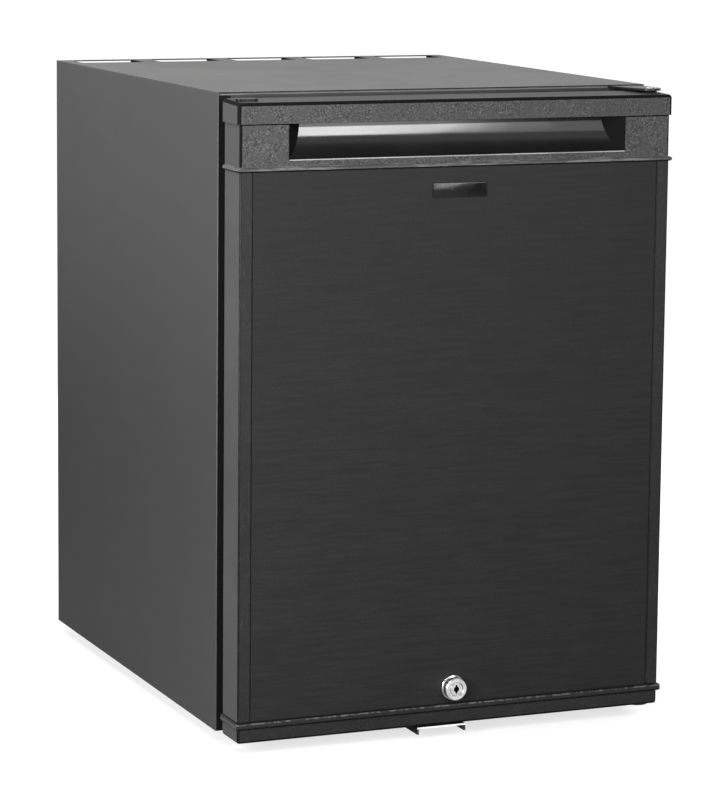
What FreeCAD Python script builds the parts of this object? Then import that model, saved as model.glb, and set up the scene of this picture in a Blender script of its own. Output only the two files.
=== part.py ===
"""Minibar fridge: insulated cabinet, side-hung door with a scooped grip, cam lock and rear cooling unit.

Millimetres. X runs across the front, Y runs from front to back and Z runs up.
The origin is on the floor, under the middle of the whole fridge.
"""
import FreeCAD, Part
import math
import os

Vector = FreeCAD.Vector
X_AXIS = Vector(1, 0, 0)
Y_AXIS = Vector(0, 1, 0)
Z_AXIS = Vector(0, 0, 1)
parallel_share = 0.999
full_turn = 360.0
quarter_turn = full_turn / 4

# Cabinet
cabinet_width = 400.0
cabinet_depth = 447.0
cabinet_height = 548.0
foot_height = 12.0
side_wall = 38.0
ceiling_wall = 45.0
floor_wall = 45.0
back_wall = 34.0
rear_bay_depth = 96.0
steel_sheet = 0.8
edge_radius = 1.2
side_flange = 12.0
frame_sheet = 1.0
frame_margin = 10.0
overrun = 5.0
seat_gap = 0.3

# Door
door_thickness = 36.0
gasket_gap = 15.0
door_side_inset = 1.0
door_bottom_gap = 0.8
door_top_drop = 4.0
door_wall = 2.5
trim_proud = 2.0
band_height = 19.2
band_front_proud = 1.0
band_radius = 3.2
band_top_fall = 1.5
handle_height = 39.8
handle_corner_radius = 2.4
handle_bead_height = 4.0
bottom_cap_height = 18.6
bottom_bead_height = 6.5
bottom_corner_radius = 2.5

# Grip recess
recess_half_width = 156.0
recess_depth = 16.4
recess_height = 30.3
recess_end_slope_share = 0.94
grip_wall = 3.0
grip_pocket_height = 6.0
grip_pocket_inset = 12.0
cap_end_length = 30.0

# Side profiles and front panel
profile_wall = 1.5
profile_flange = 11.0
profile_back_flange = 13.0
panel_groove = 1.0
panel_step = 0.8
panel_sheet = 0.8
panel_edge_cover = 8.0

# Vents along the back edge of the top, and under the rear bay
vent_count = 5
vent_side_margin = 13.0
vent_gap = 16.0
vent_width = 34.0
vent_back_margin = 9.0
base_vent_width = 14.0
vent_corner = 3.0
rear_tab = 12.0

# Inner liner and shelves
liner_wall = 1.5
liner_corner = 10.0
rib_count = 4
rib_first_height = 75.0
rib_pitch = 75.0
rib_reach = 8.0
rib_thickness = 4.0
shelf_front_setback = 75.0
shelf_back_gap = 20.0
shelf_side_gap = 1.5
shelf_frame_radius = 2.0
shelf_wire_radius = 1.25
shelf_wire_count = 13
shelf_corner = 10.0
weld_depth = 0.3
lower_shelf_rib = 1
upper_shelf_rib = 3

# Evaporator, drip tray and lamp
evaporator_half_width = 70.0
evaporator_height = 90.0
evaporator_plate = 6.0
evaporator_fin_depth = 22.0
evaporator_fin_count = 9
evaporator_fin_sheet = 2.0
evaporator_top_gap = 15.0
evaporator_tube_radius = 6.0
evaporator_tube_x = 50.0
evaporator_inlet_height = 45.0
evaporator_return_height = 12.0
tray_margin = 10.0
tray_depth = 38.0
tray_height = 14.0
tray_wall = 1.5
tray_drop = 8.0
lamp_length = 60.0
lamp_width = 34.0
lamp_depth = 9.0
lamp_setback = 95.0
lens_depth = 3.0
lens_rim = 3.0
lamp_corner = 4.0

# Feet
foot_radius = 16.0
foot_pad_height = 8.0
foot_neck_radius = 8.0
foot_stem_radius = 4.0
foot_stem_length = 18.0
foot_side_inset = 50.0
foot_front_inset = 55.0
foot_back_inset = 40.0
stem_clearance = 0.2

# Hinges
hinge_side_inset = 12.0
hinge_setback = 18.0
hinge_plate_thickness = 2.0
hinge_tip_radius = 10.0
hinge_root_width = 33.0
hinge_root_length = 52.0
pin_radius = 3.5
pin_clearance = 0.1
pin_depth = 13.0
pin_head_radius = 5.0
bush_radius = 5.5
bush_depth = 14.0
bush_collar_radius = 8.0
washer_radius = 8.0
washer_thickness = 1.6
plug_half_length = 10.0
plug_half_width = 8.0
plug_height = 2.6
plug_corner = 5.0
plug_stem_length = 10.0
top_screw_side_inset = 22.0
top_screw_setback = 36.0
bottom_plate_thickness = 2.0
bottom_screw_setback = 14.0
bottom_screw_spacing = 16.0
screw_head_radius = 4.0
screw_head_height = 2.2
screw_radius = 2.0
screw_length = 12.0

# Lock and keeper
lock_height = 33.0
lock_projection = 8.0
bezel_radius = 10.8
bezel_rounding = 1.5
barrel_radius = 9.5
barrel_length = 19.7
panel_hole_clearance = 0.2
plug_radius = 6.0
plug_recess = 0.4
key_slot_width = 1.6
key_slot_height = 7.5
key_slot_depth = 5.0
tail_half_size = 3.5
cam_thickness = 2.5
cam_reach = 37.0
cam_half_width = 6.5
cam_hub_radius = 9.0
cam_clearance = 0.3
cam_screw_radius = 4.5
cam_screw_height = 3.0
cam_screw_length = 6.5
nut_radius = 13.8
nut_sides = 6
nut_thickness = 3.5
pocket_clearance = 3.0
cam_pocket_side = 1.6
keeper_left = 33.0
keeper_right = 12.5
keeper_sheet = 1.5
keeper_drop = 6.4
keeper_back_reach = 40.0
keeper_slot_left = 18.5
keeper_slot_right = 7.5
keeper_slot_side = 2.4
keeper_screw_setback = 22.0
keeper_screw_spacing = 22.0

# Door inner side
gasket_inset = 13.5
gasket_width = 13.5
gasket_base = 2.5
gasket_bellows_width = 7.0
gasket_bellows_inset = 3.2
gasket_head_width = 12.0
gasket_head_inset = 0.7
gasket_head_thickness = 4.2
magnet_width = 8.0
magnet_thickness = 2.4
magnet_inset = 2.7
magnet_front_cover = 0.9
door_liner_margin = 10.0
plinth_side_gap = 14.0
plinth_bottom_gap = 13.0
plinth_top_gap = 10.0
plinth_corner = 8.0
cheek_thickness = 6.0
cheek_depth = 62.0
cheek_corner = 10.0
ledge_reach = 4.0
ledge_thickness = 4.0
rack_wall = 2.5
rack_side_clearance = 0.3
rack_corner = 6.0
rack_front_gap = 2.0
lower_rack_height = 20.0
lower_rack_wall_height = 62.0
upper_rack_height = 240.0
upper_rack_wall_height = 55.0
rack_window_count = 3
rack_window_height = 18.0
rack_window_rail = 14.0
rack_window_gap = 14.0
rail_height = 14.0
rail_thickness = 5.0
rail_above_rack = 60.0
rail_peg_radius = 3.0

# Cooling unit in the rear bay
unit_back_margin = 16.0
boiler_side_inset = 80.0
boiler_radius = 32.0
boiler_bottom = 58.0
boiler_height = 230.0
boiler_cap_height = 12.0
boiler_cap_radius = 20.0
riser_radius = 8.0
condenser_drop = 55.0
condenser_turn_inset = 98.0
condenser_bend = 20.0
fin_count = 18
fin_sheet = 1.2
fin_height = 62.0
fin_start = 40.0
fin_end_gap = 8.0
coil_tube_radius = 7.0
coil_boiler_gap = 40.0
coil_side_inset = 62.0
coil_runs = 6
coil_foot_height = 80.0
coil_bend_share = 0.45
vessel_radius = 27.0
vessel_boiler_gap = 20.0
vessel_side_inset = 50.0
vessel_height = 88.0
vessel_end_rounding = 10.0
vessel_collar_radius = 10.0
vessel_collar_height = 5.0
exchanger_radius = 5.0
rail_strip_height = 20.0
rail_strip_sheet = 1.5
lower_strip_height = 78.0
upper_strip_drop = 65.0
module_length = 86.0
module_depth = 52.0
module_height = 38.0
module_side_inset = 60.0
module_rounding = 3.0
gland_radius = 8.0
gland_tip_radius = 5.0
gland_length = 14.0
gland_bore_radius = 3.2

# Planes that the pieces share
half_cabinet = cabinet_width / 2
vent_length = (cabinet_width - 2 * vent_side_margin - (vent_count - 1) * vent_gap) / vent_count
overall_depth = lock_projection + door_thickness + gasket_gap + cabinet_depth
front_y = lock_projection - overall_depth / 2
door_back_y = front_y + door_thickness
cabinet_front_y = door_back_y + gasket_gap
cabinet_back_y = cabinet_front_y + cabinet_depth
frame_back_y = cabinet_front_y + frame_sheet
bay_front_y = cabinet_back_y - rear_bay_depth
foam_back_y = bay_front_y - steel_sheet
base_z = foot_height
floor_sheet_z = base_z + steel_sheet
cabinet_top_z = base_z + cabinet_height
top_sheet_z = cabinet_top_z - steel_sheet
inner_half = half_cabinet - steel_sheet

cavity_half = half_cabinet - side_wall
cavity_back_y = bay_front_y - back_wall
cavity_floor_z = base_z + floor_wall
cavity_top_z = cabinet_top_z - ceiling_wall

half_door = half_cabinet - door_side_inset
door_bottom_z = base_z + door_bottom_gap
door_top_z = cabinet_top_z - door_top_drop
panel_bottom_z = door_bottom_z + bottom_cap_height
band_bottom_z = door_top_z - band_height
handle_bottom_z = band_bottom_z - handle_height
liner_front_y = door_back_y - profile_wall
liner_half = half_door - profile_back_flange
liner_bottom_z = door_bottom_z + door_liner_margin
liner_top_z = door_top_z - door_liner_margin
foam_front_y = front_y + profile_wall + panel_sheet
panel_front_y = front_y + profile_wall - panel_step

plinth_half = cavity_half - plinth_side_gap
plinth_bottom_z = cavity_floor_z + plinth_bottom_gap
plinth_top_z = cavity_top_z - plinth_top_gap
cheek_inner = plinth_half - cheek_thickness
cheek_back_y = cabinet_front_y + cheek_depth

hinge_x = half_cabinet - hinge_side_inset
hinge_y = front_y + hinge_setback
top_plate_z = top_sheet_z - hinge_plate_thickness
bottom_plate_z = base_z - bottom_plate_thickness
top_screw_x = half_cabinet - top_screw_side_inset
top_screw_y = cabinet_front_y + top_screw_setback

lock_z = base_z + lock_height
lock_front_y = front_y - lock_projection
barrel_back_y = panel_front_y + barrel_length
cam_front_y = barrel_back_y + cam_clearance
cam_back_y = cam_front_y + cam_thickness
screw_back_y = cam_back_y + cam_screw_height
pocket_back_y = screw_back_y + pocket_clearance

unit_back_y = cabinet_back_y - unit_back_margin
unit_y = unit_back_y - boiler_radius
condenser_z = cabinet_top_z - condenser_drop
vessel_z = base_z + vessel_height
evaporator_top_z = cavity_top_z - evaporator_top_gap
evaporator_bottom_z = evaporator_top_z - evaporator_height
inlet_z = evaporator_bottom_z + evaporator_inlet_height
return_z = evaporator_bottom_z + evaporator_return_height
boiler_x = boiler_side_inset - half_cabinet
condenser_turn_x = half_cabinet - condenser_turn_inset
coil_left_x = boiler_x + boiler_radius + coil_boiler_gap
coil_right_x = half_cabinet - coil_side_inset
collar_top_z = vessel_z + vessel_radius + vessel_collar_height
coil_pitch = (return_z - collar_top_z - coil_foot_height) / (coil_runs - 1)
washer_top_z = base_z + washer_thickness
bush_foot_z = washer_top_z + seat_gap
cap_front_y = front_y - band_front_proud


def block(x0, x1, y0, y1, z0, z1):
    """Straight block between two opposite corners."""
    return Part.makeBox(x1 - x0, y1 - y0, z1 - z0, Vector(x0, y0, z0))


def disc_z(radius, x, y, z0, z1):
    """Upright cylinder."""
    return Part.makeCylinder(radius, z1 - z0, Vector(x, y, z0), Z_AXIS)


def disc_y(radius, x, y0, y1, z):
    """Cylinder that runs from front to back."""
    return Part.makeCylinder(radius, y1 - y0, Vector(x, y0, z), Y_AXIS)


def disc_x(radius, x0, x1, y, z):
    """Cylinder that runs across."""
    return Part.makeCylinder(radius, x1 - x0, Vector(x0, y, z), X_AXIS)


def cone_z(radius0, radius1, x, y, z0, z1):
    """Upright cone from one radius to another."""
    return Part.makeCone(radius0, radius1, z1 - z0, Vector(x, y, z0), Z_AXIS)


def mirrored(shape):
    """The same piece on the other side of the middle plane."""
    return shape.mirror(Vector(0, 0, 0), X_AXIS)


def joined(*shapes):
    """Several forms as one solid."""
    return shapes[0].fuse(list(shapes[1:])).removeSplitter()


def both_sides(shape):
    """A piece and its mirror image, kept as two solids."""
    return [shape, mirrored(shape)]


def parallel(edge, axis):
    """True for a straight edge that runs along an axis."""
    run = edge.Vertexes[-1].Point - edge.Vertexes[0].Point
    return abs(run.dot(axis)) > parallel_share * edge.Length


def rounded(shape, radius, test):
    """Round the edges that pass a test."""
    return shape.makeFillet(radius, [edge for edge in shape.Edges if test(edge)])


def rounded_upright(shape, radius):
    """Round the upright edges of a block."""
    return rounded(shape, radius, lambda edge: parallel(edge, Z_AXIS))


def rounded_across_depth(shape, radius):
    """Round the edges of a block that run from front to back."""
    return rounded(shape, radius, lambda edge: parallel(edge, Y_AXIS))


def frame_ring(half_outer, z0, z1, width, y0, y1):
    """Rectangular ring that stands upright, of one width all round."""
    outer = block(-half_outer, half_outer, y0, y1, z0, z1)
    half_inner = half_outer - width
    hole = block(-half_inner, half_inner, y0 - overrun, y1 + overrun, z0 + width, z1 - width)
    return outer.cut(hole)


def countersunk(x, y, z_top, clearance):
    """Countersunk screw, or its hole when a clearance is given."""
    neck_z = z_top - screw_head_height
    head = cone_z(screw_radius + clearance, screw_head_radius + clearance, x, y, neck_z, z_top)
    shank = disc_z(screw_radius + clearance, x, y, z_top - screw_length, neck_z)
    return joined(head, shank)


def pan_screw_below(x, y, z_seat, clearance):
    """Screw driven upwards, with its head under the seat."""
    head = disc_z(screw_head_radius + clearance, x, y, z_seat - screw_head_height, z_seat)
    shank = disc_z(screw_radius + clearance, x, y, z_seat, z_seat + screw_length)
    return joined(head, shank)


def pipe(points, tube_radius, bend_radius):
    """Solid round tube along straight runs that tangent bends join."""
    edges = []
    start = points[0]
    for before, corner, after in zip(points, points[1:], points[2:]):
        into = (corner - before).normalize()
        out = (after - corner).normalize()
        half_turn = into.getAngle(out) / 2
        setback = bend_radius * math.tan(half_turn)
        bend_start = corner - into * setback
        bend_end = corner + out * setback
        inward = (out - into).normalize()
        middle = corner + inward * (bend_radius / math.cos(half_turn) - bend_radius)
        edges.append(Part.LineSegment(start, bend_start).toShape())
        edges.append(Part.Arc(bend_start, middle, bend_end).toShape())
        start = bend_end
    edges.append(Part.LineSegment(start, points[-1]).toShape())
    section = Part.Wire([Part.makeCircle(tube_radius, points[0], points[1] - points[0])])
    return Part.Wire(edges).makePipeShell([section], True, False)


# Cabinet shell

def hinge_nose(z0, z1, grow):
    """Tapered hinge plate seen from above: a wide root in the cabinet and a round tip at the pin."""
    tip = hinge_tip_radius + grow
    right = hinge_x + tip
    left = hinge_x + hinge_tip_radius - hinge_root_width - grow
    reach = math.hypot(hinge_x - left, cabinet_front_y - hinge_y)
    lean = math.atan2(cabinet_front_y - hinge_y, left - hinge_x)
    touch = lean + math.acos(tip / reach)
    touch_x = hinge_x + tip * math.cos(touch)
    touch_y = hinge_y + tip * math.sin(touch)
    corners = [(right, hinge_y), (right, cabinet_front_y), (left, cabinet_front_y), (touch_x, touch_y)]
    corners.append((hinge_x, hinge_y))
    outline = Part.makePolygon([Vector(x, y, z0) for x, y in corners + corners[:1]])
    taper = Part.Face(outline).extrude(Vector(0, 0, z1 - z0))
    root_back = cabinet_front_y + hinge_root_length + grow
    root = block(left, right, cabinet_front_y, root_back, z0, z1)
    return joined(root, taper, disc_z(tip, hinge_x, hinge_y, z0, z1))


def hinge_slot():
    """Room for the top hinge plate in the front and the foam of the cabinet."""
    return hinge_nose(top_plate_z - seat_gap, top_sheet_z + overrun, seat_gap)


def side_panel():
    """Right side panel: steel sheet with narrow flanges folded in at the front and the back."""

    def fold(edge):
        return parallel(edge, Z_AXIS) and edge.BoundBox.XMin > half_cabinet - edge_radius

    flange_x = half_cabinet - side_flange
    outer = block(flange_x, half_cabinet, cabinet_front_y, cabinet_back_y, base_z, top_sheet_z)
    inner = block(flange_x - overrun, inner_half,
                  cabinet_front_y + steel_sheet, cabinet_back_y - steel_sheet,
                  base_z - overrun, top_sheet_z + overrun)
    return rounded(outer, edge_radius, fold).cut(rounded(inner, edge_radius - steel_sheet, fold))


def vent_slots(back_y, width, z0, z1):
    """Row of rounded slots whose back edges lie on one line."""
    pitch = vent_length + vent_gap
    slots = []
    for index in range(vent_count):
        middle = (index - (vent_count - 1) / 2) * pitch
        slot = block(middle - vent_length / 2, middle + vent_length / 2, back_y - width, back_y, z0, z1)
        slots.append(rounded_upright(slot, vent_corner))
    return slots


def top_screw_holes(clearance):
    """The two screws of the top sheet, which hold the hinge plate and the spare nut plate."""
    return both_sides(countersunk(top_screw_x, top_screw_y, cabinet_top_z, clearance))


def top_panel():
    """Top sheet with vent slots at the back and tabs folded down between them."""
    sheet = block(-half_cabinet, half_cabinet, cabinet_front_y, cabinet_back_y, top_sheet_z, cabinet_top_z)
    sheet = rounded_upright(sheet, edge_radius)
    tab_half = half_cabinet - side_flange
    tab_z = top_sheet_z - rear_tab
    tabs = block(-tab_half, tab_half, cabinet_back_y - steel_sheet, cabinet_back_y, tab_z, top_sheet_z)
    tabs = tabs.cut(vent_slots(cabinet_back_y + overrun, vent_width, tab_z - overrun, top_sheet_z))
    slots = vent_slots(cabinet_back_y - vent_back_margin, vent_width, top_sheet_z - overrun,
                       cabinet_top_z + overrun)
    return joined(sheet, tabs).cut(slots + top_screw_holes(stem_clearance))


def foot_places():
    """Middles of the four feet."""
    front = cabinet_front_y + foot_front_inset
    back = cabinet_back_y - foot_back_inset
    side = half_cabinet - foot_side_inset
    return [(x, y) for x in (-side, side) for y in (front, back)]


def foot_stems(clearance):
    """Threaded stems of the feet, or their holes."""
    top = base_z + foot_stem_length
    return [disc_z(foot_stem_radius + clearance, x, y, base_z, top) for x, y in foot_places()]


def bottom_screw_places():
    """Middles of the two screws of the bottom hinge plate."""
    y = cabinet_front_y + bottom_screw_setback
    return [(hinge_x, y), (hinge_x - bottom_screw_spacing, y)]


def keeper_middle():
    """Middle of the keeper bracket, which sits off to one side because the cam swings in from there."""
    return (keeper_right - keeper_left) / 2


def keeper_screw_places():
    """Middles of the two screws of the keeper bracket."""
    y = cabinet_front_y + keeper_screw_setback
    half = keeper_screw_spacing / 2
    return [(keeper_middle() - half, y), (keeper_middle() + half, y)]


def base_screws(clearance):
    """Screws driven up through the base sheet: hinge screws, then keeper screws."""
    hinge = [pan_screw_below(x, y, bottom_plate_z, clearance) for x, y in bottom_screw_places()]
    keeper = [pan_screw_below(x, y, base_z - keeper_sheet, clearance) for x, y in keeper_screw_places()]
    return hinge, keeper


def base_panel():
    """Base sheet with air slots under the rear bay."""
    back = cabinet_back_y - steel_sheet
    sheet = block(-inner_half, inner_half, frame_back_y, back, base_z, floor_sheet_z)
    sheet = rounded_upright(sheet, edge_radius)
    slot_back_y = (bay_front_y + cabinet_back_y) / 2 - base_vent_width
    slots = vent_slots(slot_back_y, base_vent_width, base_z - overrun, floor_sheet_z + overrun)
    hinge, keeper = base_screws(stem_clearance)
    return sheet.cut(slots + foot_stems(stem_clearance) + hinge + keeper)


def evaporator_tubes(clearance):
    """Inlet and return tube of the evaporator, through the back wall to the condenser and the coil."""
    radius = evaporator_tube_radius + clearance
    inlet_end = unit_y - riser_radius - seat_gap
    return_end = unit_y - coil_tube_radius - seat_gap
    return [disc_y(radius, evaporator_tube_x, cavity_back_y, inlet_end, inlet_z),
            disc_y(radius, evaporator_tube_x, cavity_back_y, return_end, return_z)]


def rear_bulkhead():
    """Sheet that closes the foam towards the rear bay."""
    sheet = block(-inner_half, inner_half, foam_back_y, bay_front_y, floor_sheet_z, top_sheet_z)
    return sheet.cut(evaporator_tubes(stem_clearance))


def front_frame():
    """Steel frame round the cavity, which the gasket lands on."""
    half = half_cabinet - side_flange
    sheet = block(-half, half, cabinet_front_y, frame_back_y, base_z, top_sheet_z)
    opening_half = cavity_half + frame_margin
    opening = block(-opening_half, opening_half, cabinet_front_y - overrun, frame_back_y + overrun,
                    cavity_floor_z - frame_margin, cavity_top_z + frame_margin)
    return sheet.cut(opening)


def liner_outside():
    """Outside of the moulded tub, which the foam fills up to."""
    half = cavity_half + liner_wall
    tub = block(-half, half, cabinet_front_y, cavity_back_y + liner_wall, cavity_floor_z - liner_wall,
                cavity_top_z + liner_wall)
    return rounded(tub, liner_corner + liner_wall, behind_front)


def behind_front(edge):
    """True for the edges of a tub that do not lie in the cabinet's front plane."""
    return edge.BoundBox.YMax > cabinet_front_y + frame_sheet


def cavity():
    """Cold space inside the liner."""
    half = cavity_half
    space = block(-half, half, cabinet_front_y, cavity_back_y, cavity_floor_z, cavity_top_z)
    space = rounded(space, liner_corner, behind_front)
    mouth = block(-half, half, cabinet_front_y - overrun, cabinet_front_y, cavity_floor_z, cavity_top_z)
    return joined(space, rounded_across_depth(mouth, liner_corner))


def rib_height(index):
    """Height of the top of a pair of shelf ribs."""
    return cavity_floor_z + rib_first_height + index * rib_pitch


def shelf_ribs():
    """Ledges moulded in the side walls, one pair for each shelf height."""
    front = cabinet_front_y + shelf_front_setback
    back = cavity_back_y - shelf_back_gap
    ribs = []
    for index in range(rib_count):
        top = rib_height(index)
        rib = block(cavity_half - rib_reach, cavity_half + liner_wall / 2,
                    front, back, top - rib_thickness, top)
        ribs.extend(both_sides(rib))
    return ribs


def inner_liner():
    """White moulded tub with its front flange and shelf ribs."""
    half = cavity_half + frame_margin
    flange = block(-half, half, cabinet_front_y, frame_back_y, cavity_floor_z - frame_margin,
                   cavity_top_z + frame_margin)
    tub = joined(flange, liner_outside()).cut(cavity())
    return joined(tub, *shelf_ribs()).cut(evaporator_tubes(stem_clearance))


def insulation_foam():
    """Foam that fills the walls between the steel shell and the liner."""
    fill = block(-inner_half, inner_half, frame_back_y, foam_back_y, floor_sheet_z, top_sheet_z)
    at_front = frame_back_y + edge_radius
    fill = rounded(fill, edge_radius, lambda edge: parallel(edge, Z_AXIS) and edge.BoundBox.YMax < at_front)
    hinge, keeper = base_screws(stem_clearance)
    hollows = [liner_outside(), *both_sides(hinge_slot())]
    hollows += top_screw_holes(stem_clearance) + evaporator_tubes(stem_clearance)
    return fill.cut(hollows + foot_stems(stem_clearance) + hinge + keeper)


# Pieces inside the cabinet

def wire_shelf(rib_index):
    """Wire shelf: a bent frame wire that lies on two ribs, and thin wires welded across its top."""
    half = cavity_half - shelf_side_gap - shelf_frame_radius
    y0 = cabinet_front_y + shelf_front_setback + shelf_frame_radius
    y1 = cavity_back_y - shelf_back_gap - shelf_frame_radius
    z = rib_height(rib_index) + shelf_frame_radius
    parts = []
    for x in (-half, half):
        parts.append(disc_y(shelf_frame_radius, x, y0 + shelf_corner, y1 - shelf_corner, z))
    for y in (y0, y1):
        parts.append(disc_x(shelf_frame_radius, shelf_corner - half, half - shelf_corner, y, z))
    left = shelf_corner - half
    front = y0 + shelf_corner
    back = y1 - shelf_corner
    for quarter, (x, y) in enumerate([(-left, back), (left, back), (left, front), (-left, front)]):
        middle = Vector(x, y, z)
        bend = Part.makeTorus(shelf_corner, shelf_frame_radius, middle, Z_AXIS, 0, full_turn, quarter_turn)
        parts.append(bend.rotate(middle, Z_AXIS, quarter * quarter_turn))
    wire_z = z + shelf_frame_radius + shelf_wire_radius - weld_depth
    span = 2 * (half - shelf_corner)
    for index in range(shelf_wire_count):
        x = shelf_corner - half + span * index / (shelf_wire_count - 1)
        parts.append(disc_y(shelf_wire_radius, x, y0, y1, wire_z))
    return joined(*parts)


def evaporator():
    """Cast plate with upright fins on the back wall, and its two tubes."""
    top = evaporator_top_z
    bottom = evaporator_bottom_z
    plate_front = cavity_back_y - evaporator_plate
    plate = block(-evaporator_half_width, evaporator_half_width, plate_front, cavity_back_y, bottom, top)
    pitch = (2 * evaporator_half_width - evaporator_fin_sheet) / (evaporator_fin_count - 1)
    fin_front = plate_front - evaporator_fin_depth
    fins = []
    for index in range(evaporator_fin_count):
        x = index * pitch - evaporator_half_width
        fins.append(block(x, x + evaporator_fin_sheet, fin_front, plate_front, bottom, top))
    return joined(plate, *fins, *evaporator_tubes(0))


def drip_tray():
    """Open tray on the back wall that catches what melts off the fins."""
    half = evaporator_half_width + tray_margin
    top = evaporator_bottom_z - tray_drop
    y0 = cavity_back_y - tray_depth
    tray = block(-half, half, y0, cavity_back_y, top - tray_height, top)
    hollow = block(tray_wall - half, half - tray_wall, y0 + tray_wall, cavity_back_y - tray_wall,
                   top - tray_height + tray_wall, top + overrun)
    return tray.cut(hollow)


def lamp_body(inset, z0, z1):
    """Rounded block of the lamp, seen from below."""
    half = lamp_length / 2 - inset
    y0 = cabinet_front_y + lamp_setback
    lamp = block(-half, half, y0 + inset, y0 + lamp_width - inset, z0, z1)
    return rounded_upright(lamp, lamp_corner - inset / 2)


def lamp_housing():
    """Lamp housing on the ceiling of the cavity."""
    bottom = cavity_top_z - lamp_depth
    lens_room = lamp_body(lens_rim, bottom - overrun, bottom + lens_depth)
    return lamp_body(0, bottom, cavity_top_z).cut(lens_room)


def lamp_lens():
    """Lens set in the lamp housing."""
    bottom = cavity_top_z - lamp_depth
    return lamp_body(lens_rim, bottom - lens_depth, bottom + lens_depth)


def levelling_feet():
    """Four feet on threaded stems."""
    feet = []
    for (x, y), stem in zip(foot_places(), foot_stems(0)):
        pad = disc_z(foot_radius, x, y, 0, foot_pad_height)
        neck = disc_z(foot_neck_radius, x, y, foot_pad_height, base_z)
        feet.append(joined(pad, neck, stem))
    return Part.makeCompound(feet)


# Hinges

def top_hinge_plate():
    """Top hinge plate, which comes out of the cabinet under the top sheet."""
    plate = hinge_nose(top_plate_z, top_sheet_z, 0)
    pin_hole = disc_z(pin_radius, hinge_x, hinge_y, top_plate_z - overrun, top_sheet_z + overrun)
    return plate.cut([pin_hole] + top_screw_holes(0))


def top_hinge_pin():
    """Pin riveted in the tip of the top hinge plate."""
    pin = disc_z(pin_radius, hinge_x, hinge_y, door_top_z - pin_depth, top_sheet_z)
    head = disc_z(pin_head_radius, hinge_x, hinge_y, top_sheet_z, cabinet_top_z)
    return joined(pin, head)


def spare_nut_plate():
    """Plate under the top sheet at the side that has no hinge."""
    right = hinge_x + hinge_tip_radius
    back = cabinet_front_y + hinge_root_length
    plate = block(right - hinge_root_width, right, frame_back_y + seat_gap, back, top_plate_z, top_sheet_z)
    return mirrored(plate).cut(top_screw_holes(0))


def bottom_hinge_plate():
    """Bottom hinge plate under the base sheet."""
    plate = hinge_nose(bottom_plate_z, base_z, 0)
    pin_hole = disc_z(pin_radius, hinge_x, hinge_y, bottom_plate_z - overrun, base_z + overrun)
    return plate.cut([pin_hole] + base_screws(0)[0])


def bottom_hinge_pin():
    """Pin that stands on the bottom hinge plate."""
    return disc_z(pin_radius, hinge_x, hinge_y, bottom_plate_z, door_bottom_z + pin_depth)


def hinge_washer():
    """Washer that carries the door on the bottom hinge plate."""
    washer = disc_z(washer_radius, hinge_x, hinge_y, base_z, washer_top_z)
    return washer.cut(hinge_bore(base_z - overrun, washer_top_z + overrun))


def hinge_bore(z0, z1):
    """Bore of a hinge bush."""
    return disc_z(pin_radius + pin_clearance, hinge_x, hinge_y, z0, z1)


def above_cap():
    """Space above the top cap, whose top falls a little towards the front."""
    half = half_cabinet + overrun
    front_z = door_top_z - band_top_fall
    high_z = door_top_z + overrun
    corners = [(cap_front_y, front_z), (door_back_y, door_top_z),
               (door_back_y, high_z), (cap_front_y, high_z)]
    outline = Part.makePolygon([Vector(-half, y, z) for y, z in corners + corners[:1]])
    return Part.Face(outline).extrude(Vector(2 * half, 0, 0))


def top_hinge_bush():
    """Bush in the top cap, with a tapered collar under the hinge plate."""
    collar_top = top_plate_z - seat_gap
    collar_foot = door_top_z - band_top_fall
    sleeve_foot = door_top_z - bush_depth
    sleeve = disc_z(bush_radius, hinge_x, hinge_y, sleeve_foot, collar_foot + band_top_fall / 2)
    collar = cone_z(bush_collar_radius, bush_radius, hinge_x, hinge_y, collar_foot, collar_top)
    bush = joined(sleeve, collar.common(above_cap()))
    return bush.cut(hinge_bore(sleeve_foot - overrun, collar_top + overrun))


def bottom_hinge_bush():
    """Bush in the bottom cap."""
    top = door_bottom_z + bush_depth
    sleeve = disc_z(bush_radius, hinge_x, hinge_y, bush_foot_z, top)
    return sleeve.cut(hinge_bore(bush_foot_z - overrun, top + overrun))


def spare_hinge_plug():
    """Plug in the unused bush hole at the free side of the door."""
    foot = door_top_z - band_top_fall
    head = block(hinge_x - plug_half_length, hinge_x + plug_half_length, hinge_y - plug_half_width,
                 hinge_y + plug_half_width, foot, foot + plug_height)
    head = rounded_upright(head, plug_corner).common(above_cap())
    stem = disc_z(bush_radius, hinge_x, hinge_y, door_top_z - plug_stem_length, foot + band_top_fall / 2)
    return mirrored(joined(head, stem))


# Door shell

def liner_rebate(z0, z1):
    """Shallow step in the back of the door, in which the inner liner lies."""
    return block(-liner_half, liner_half, liner_front_y, door_back_y + overrun, z0, z1)


def cap_hollow():
    """Foamed hollow of the top cap, behind the grip pocket."""
    half = half_door - cap_end_length
    pocket_back = front_y + recess_depth + door_wall
    top = door_top_z - band_top_fall - door_wall
    return block(-half, half, pocket_back, liner_front_y, band_bottom_z, top)


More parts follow.
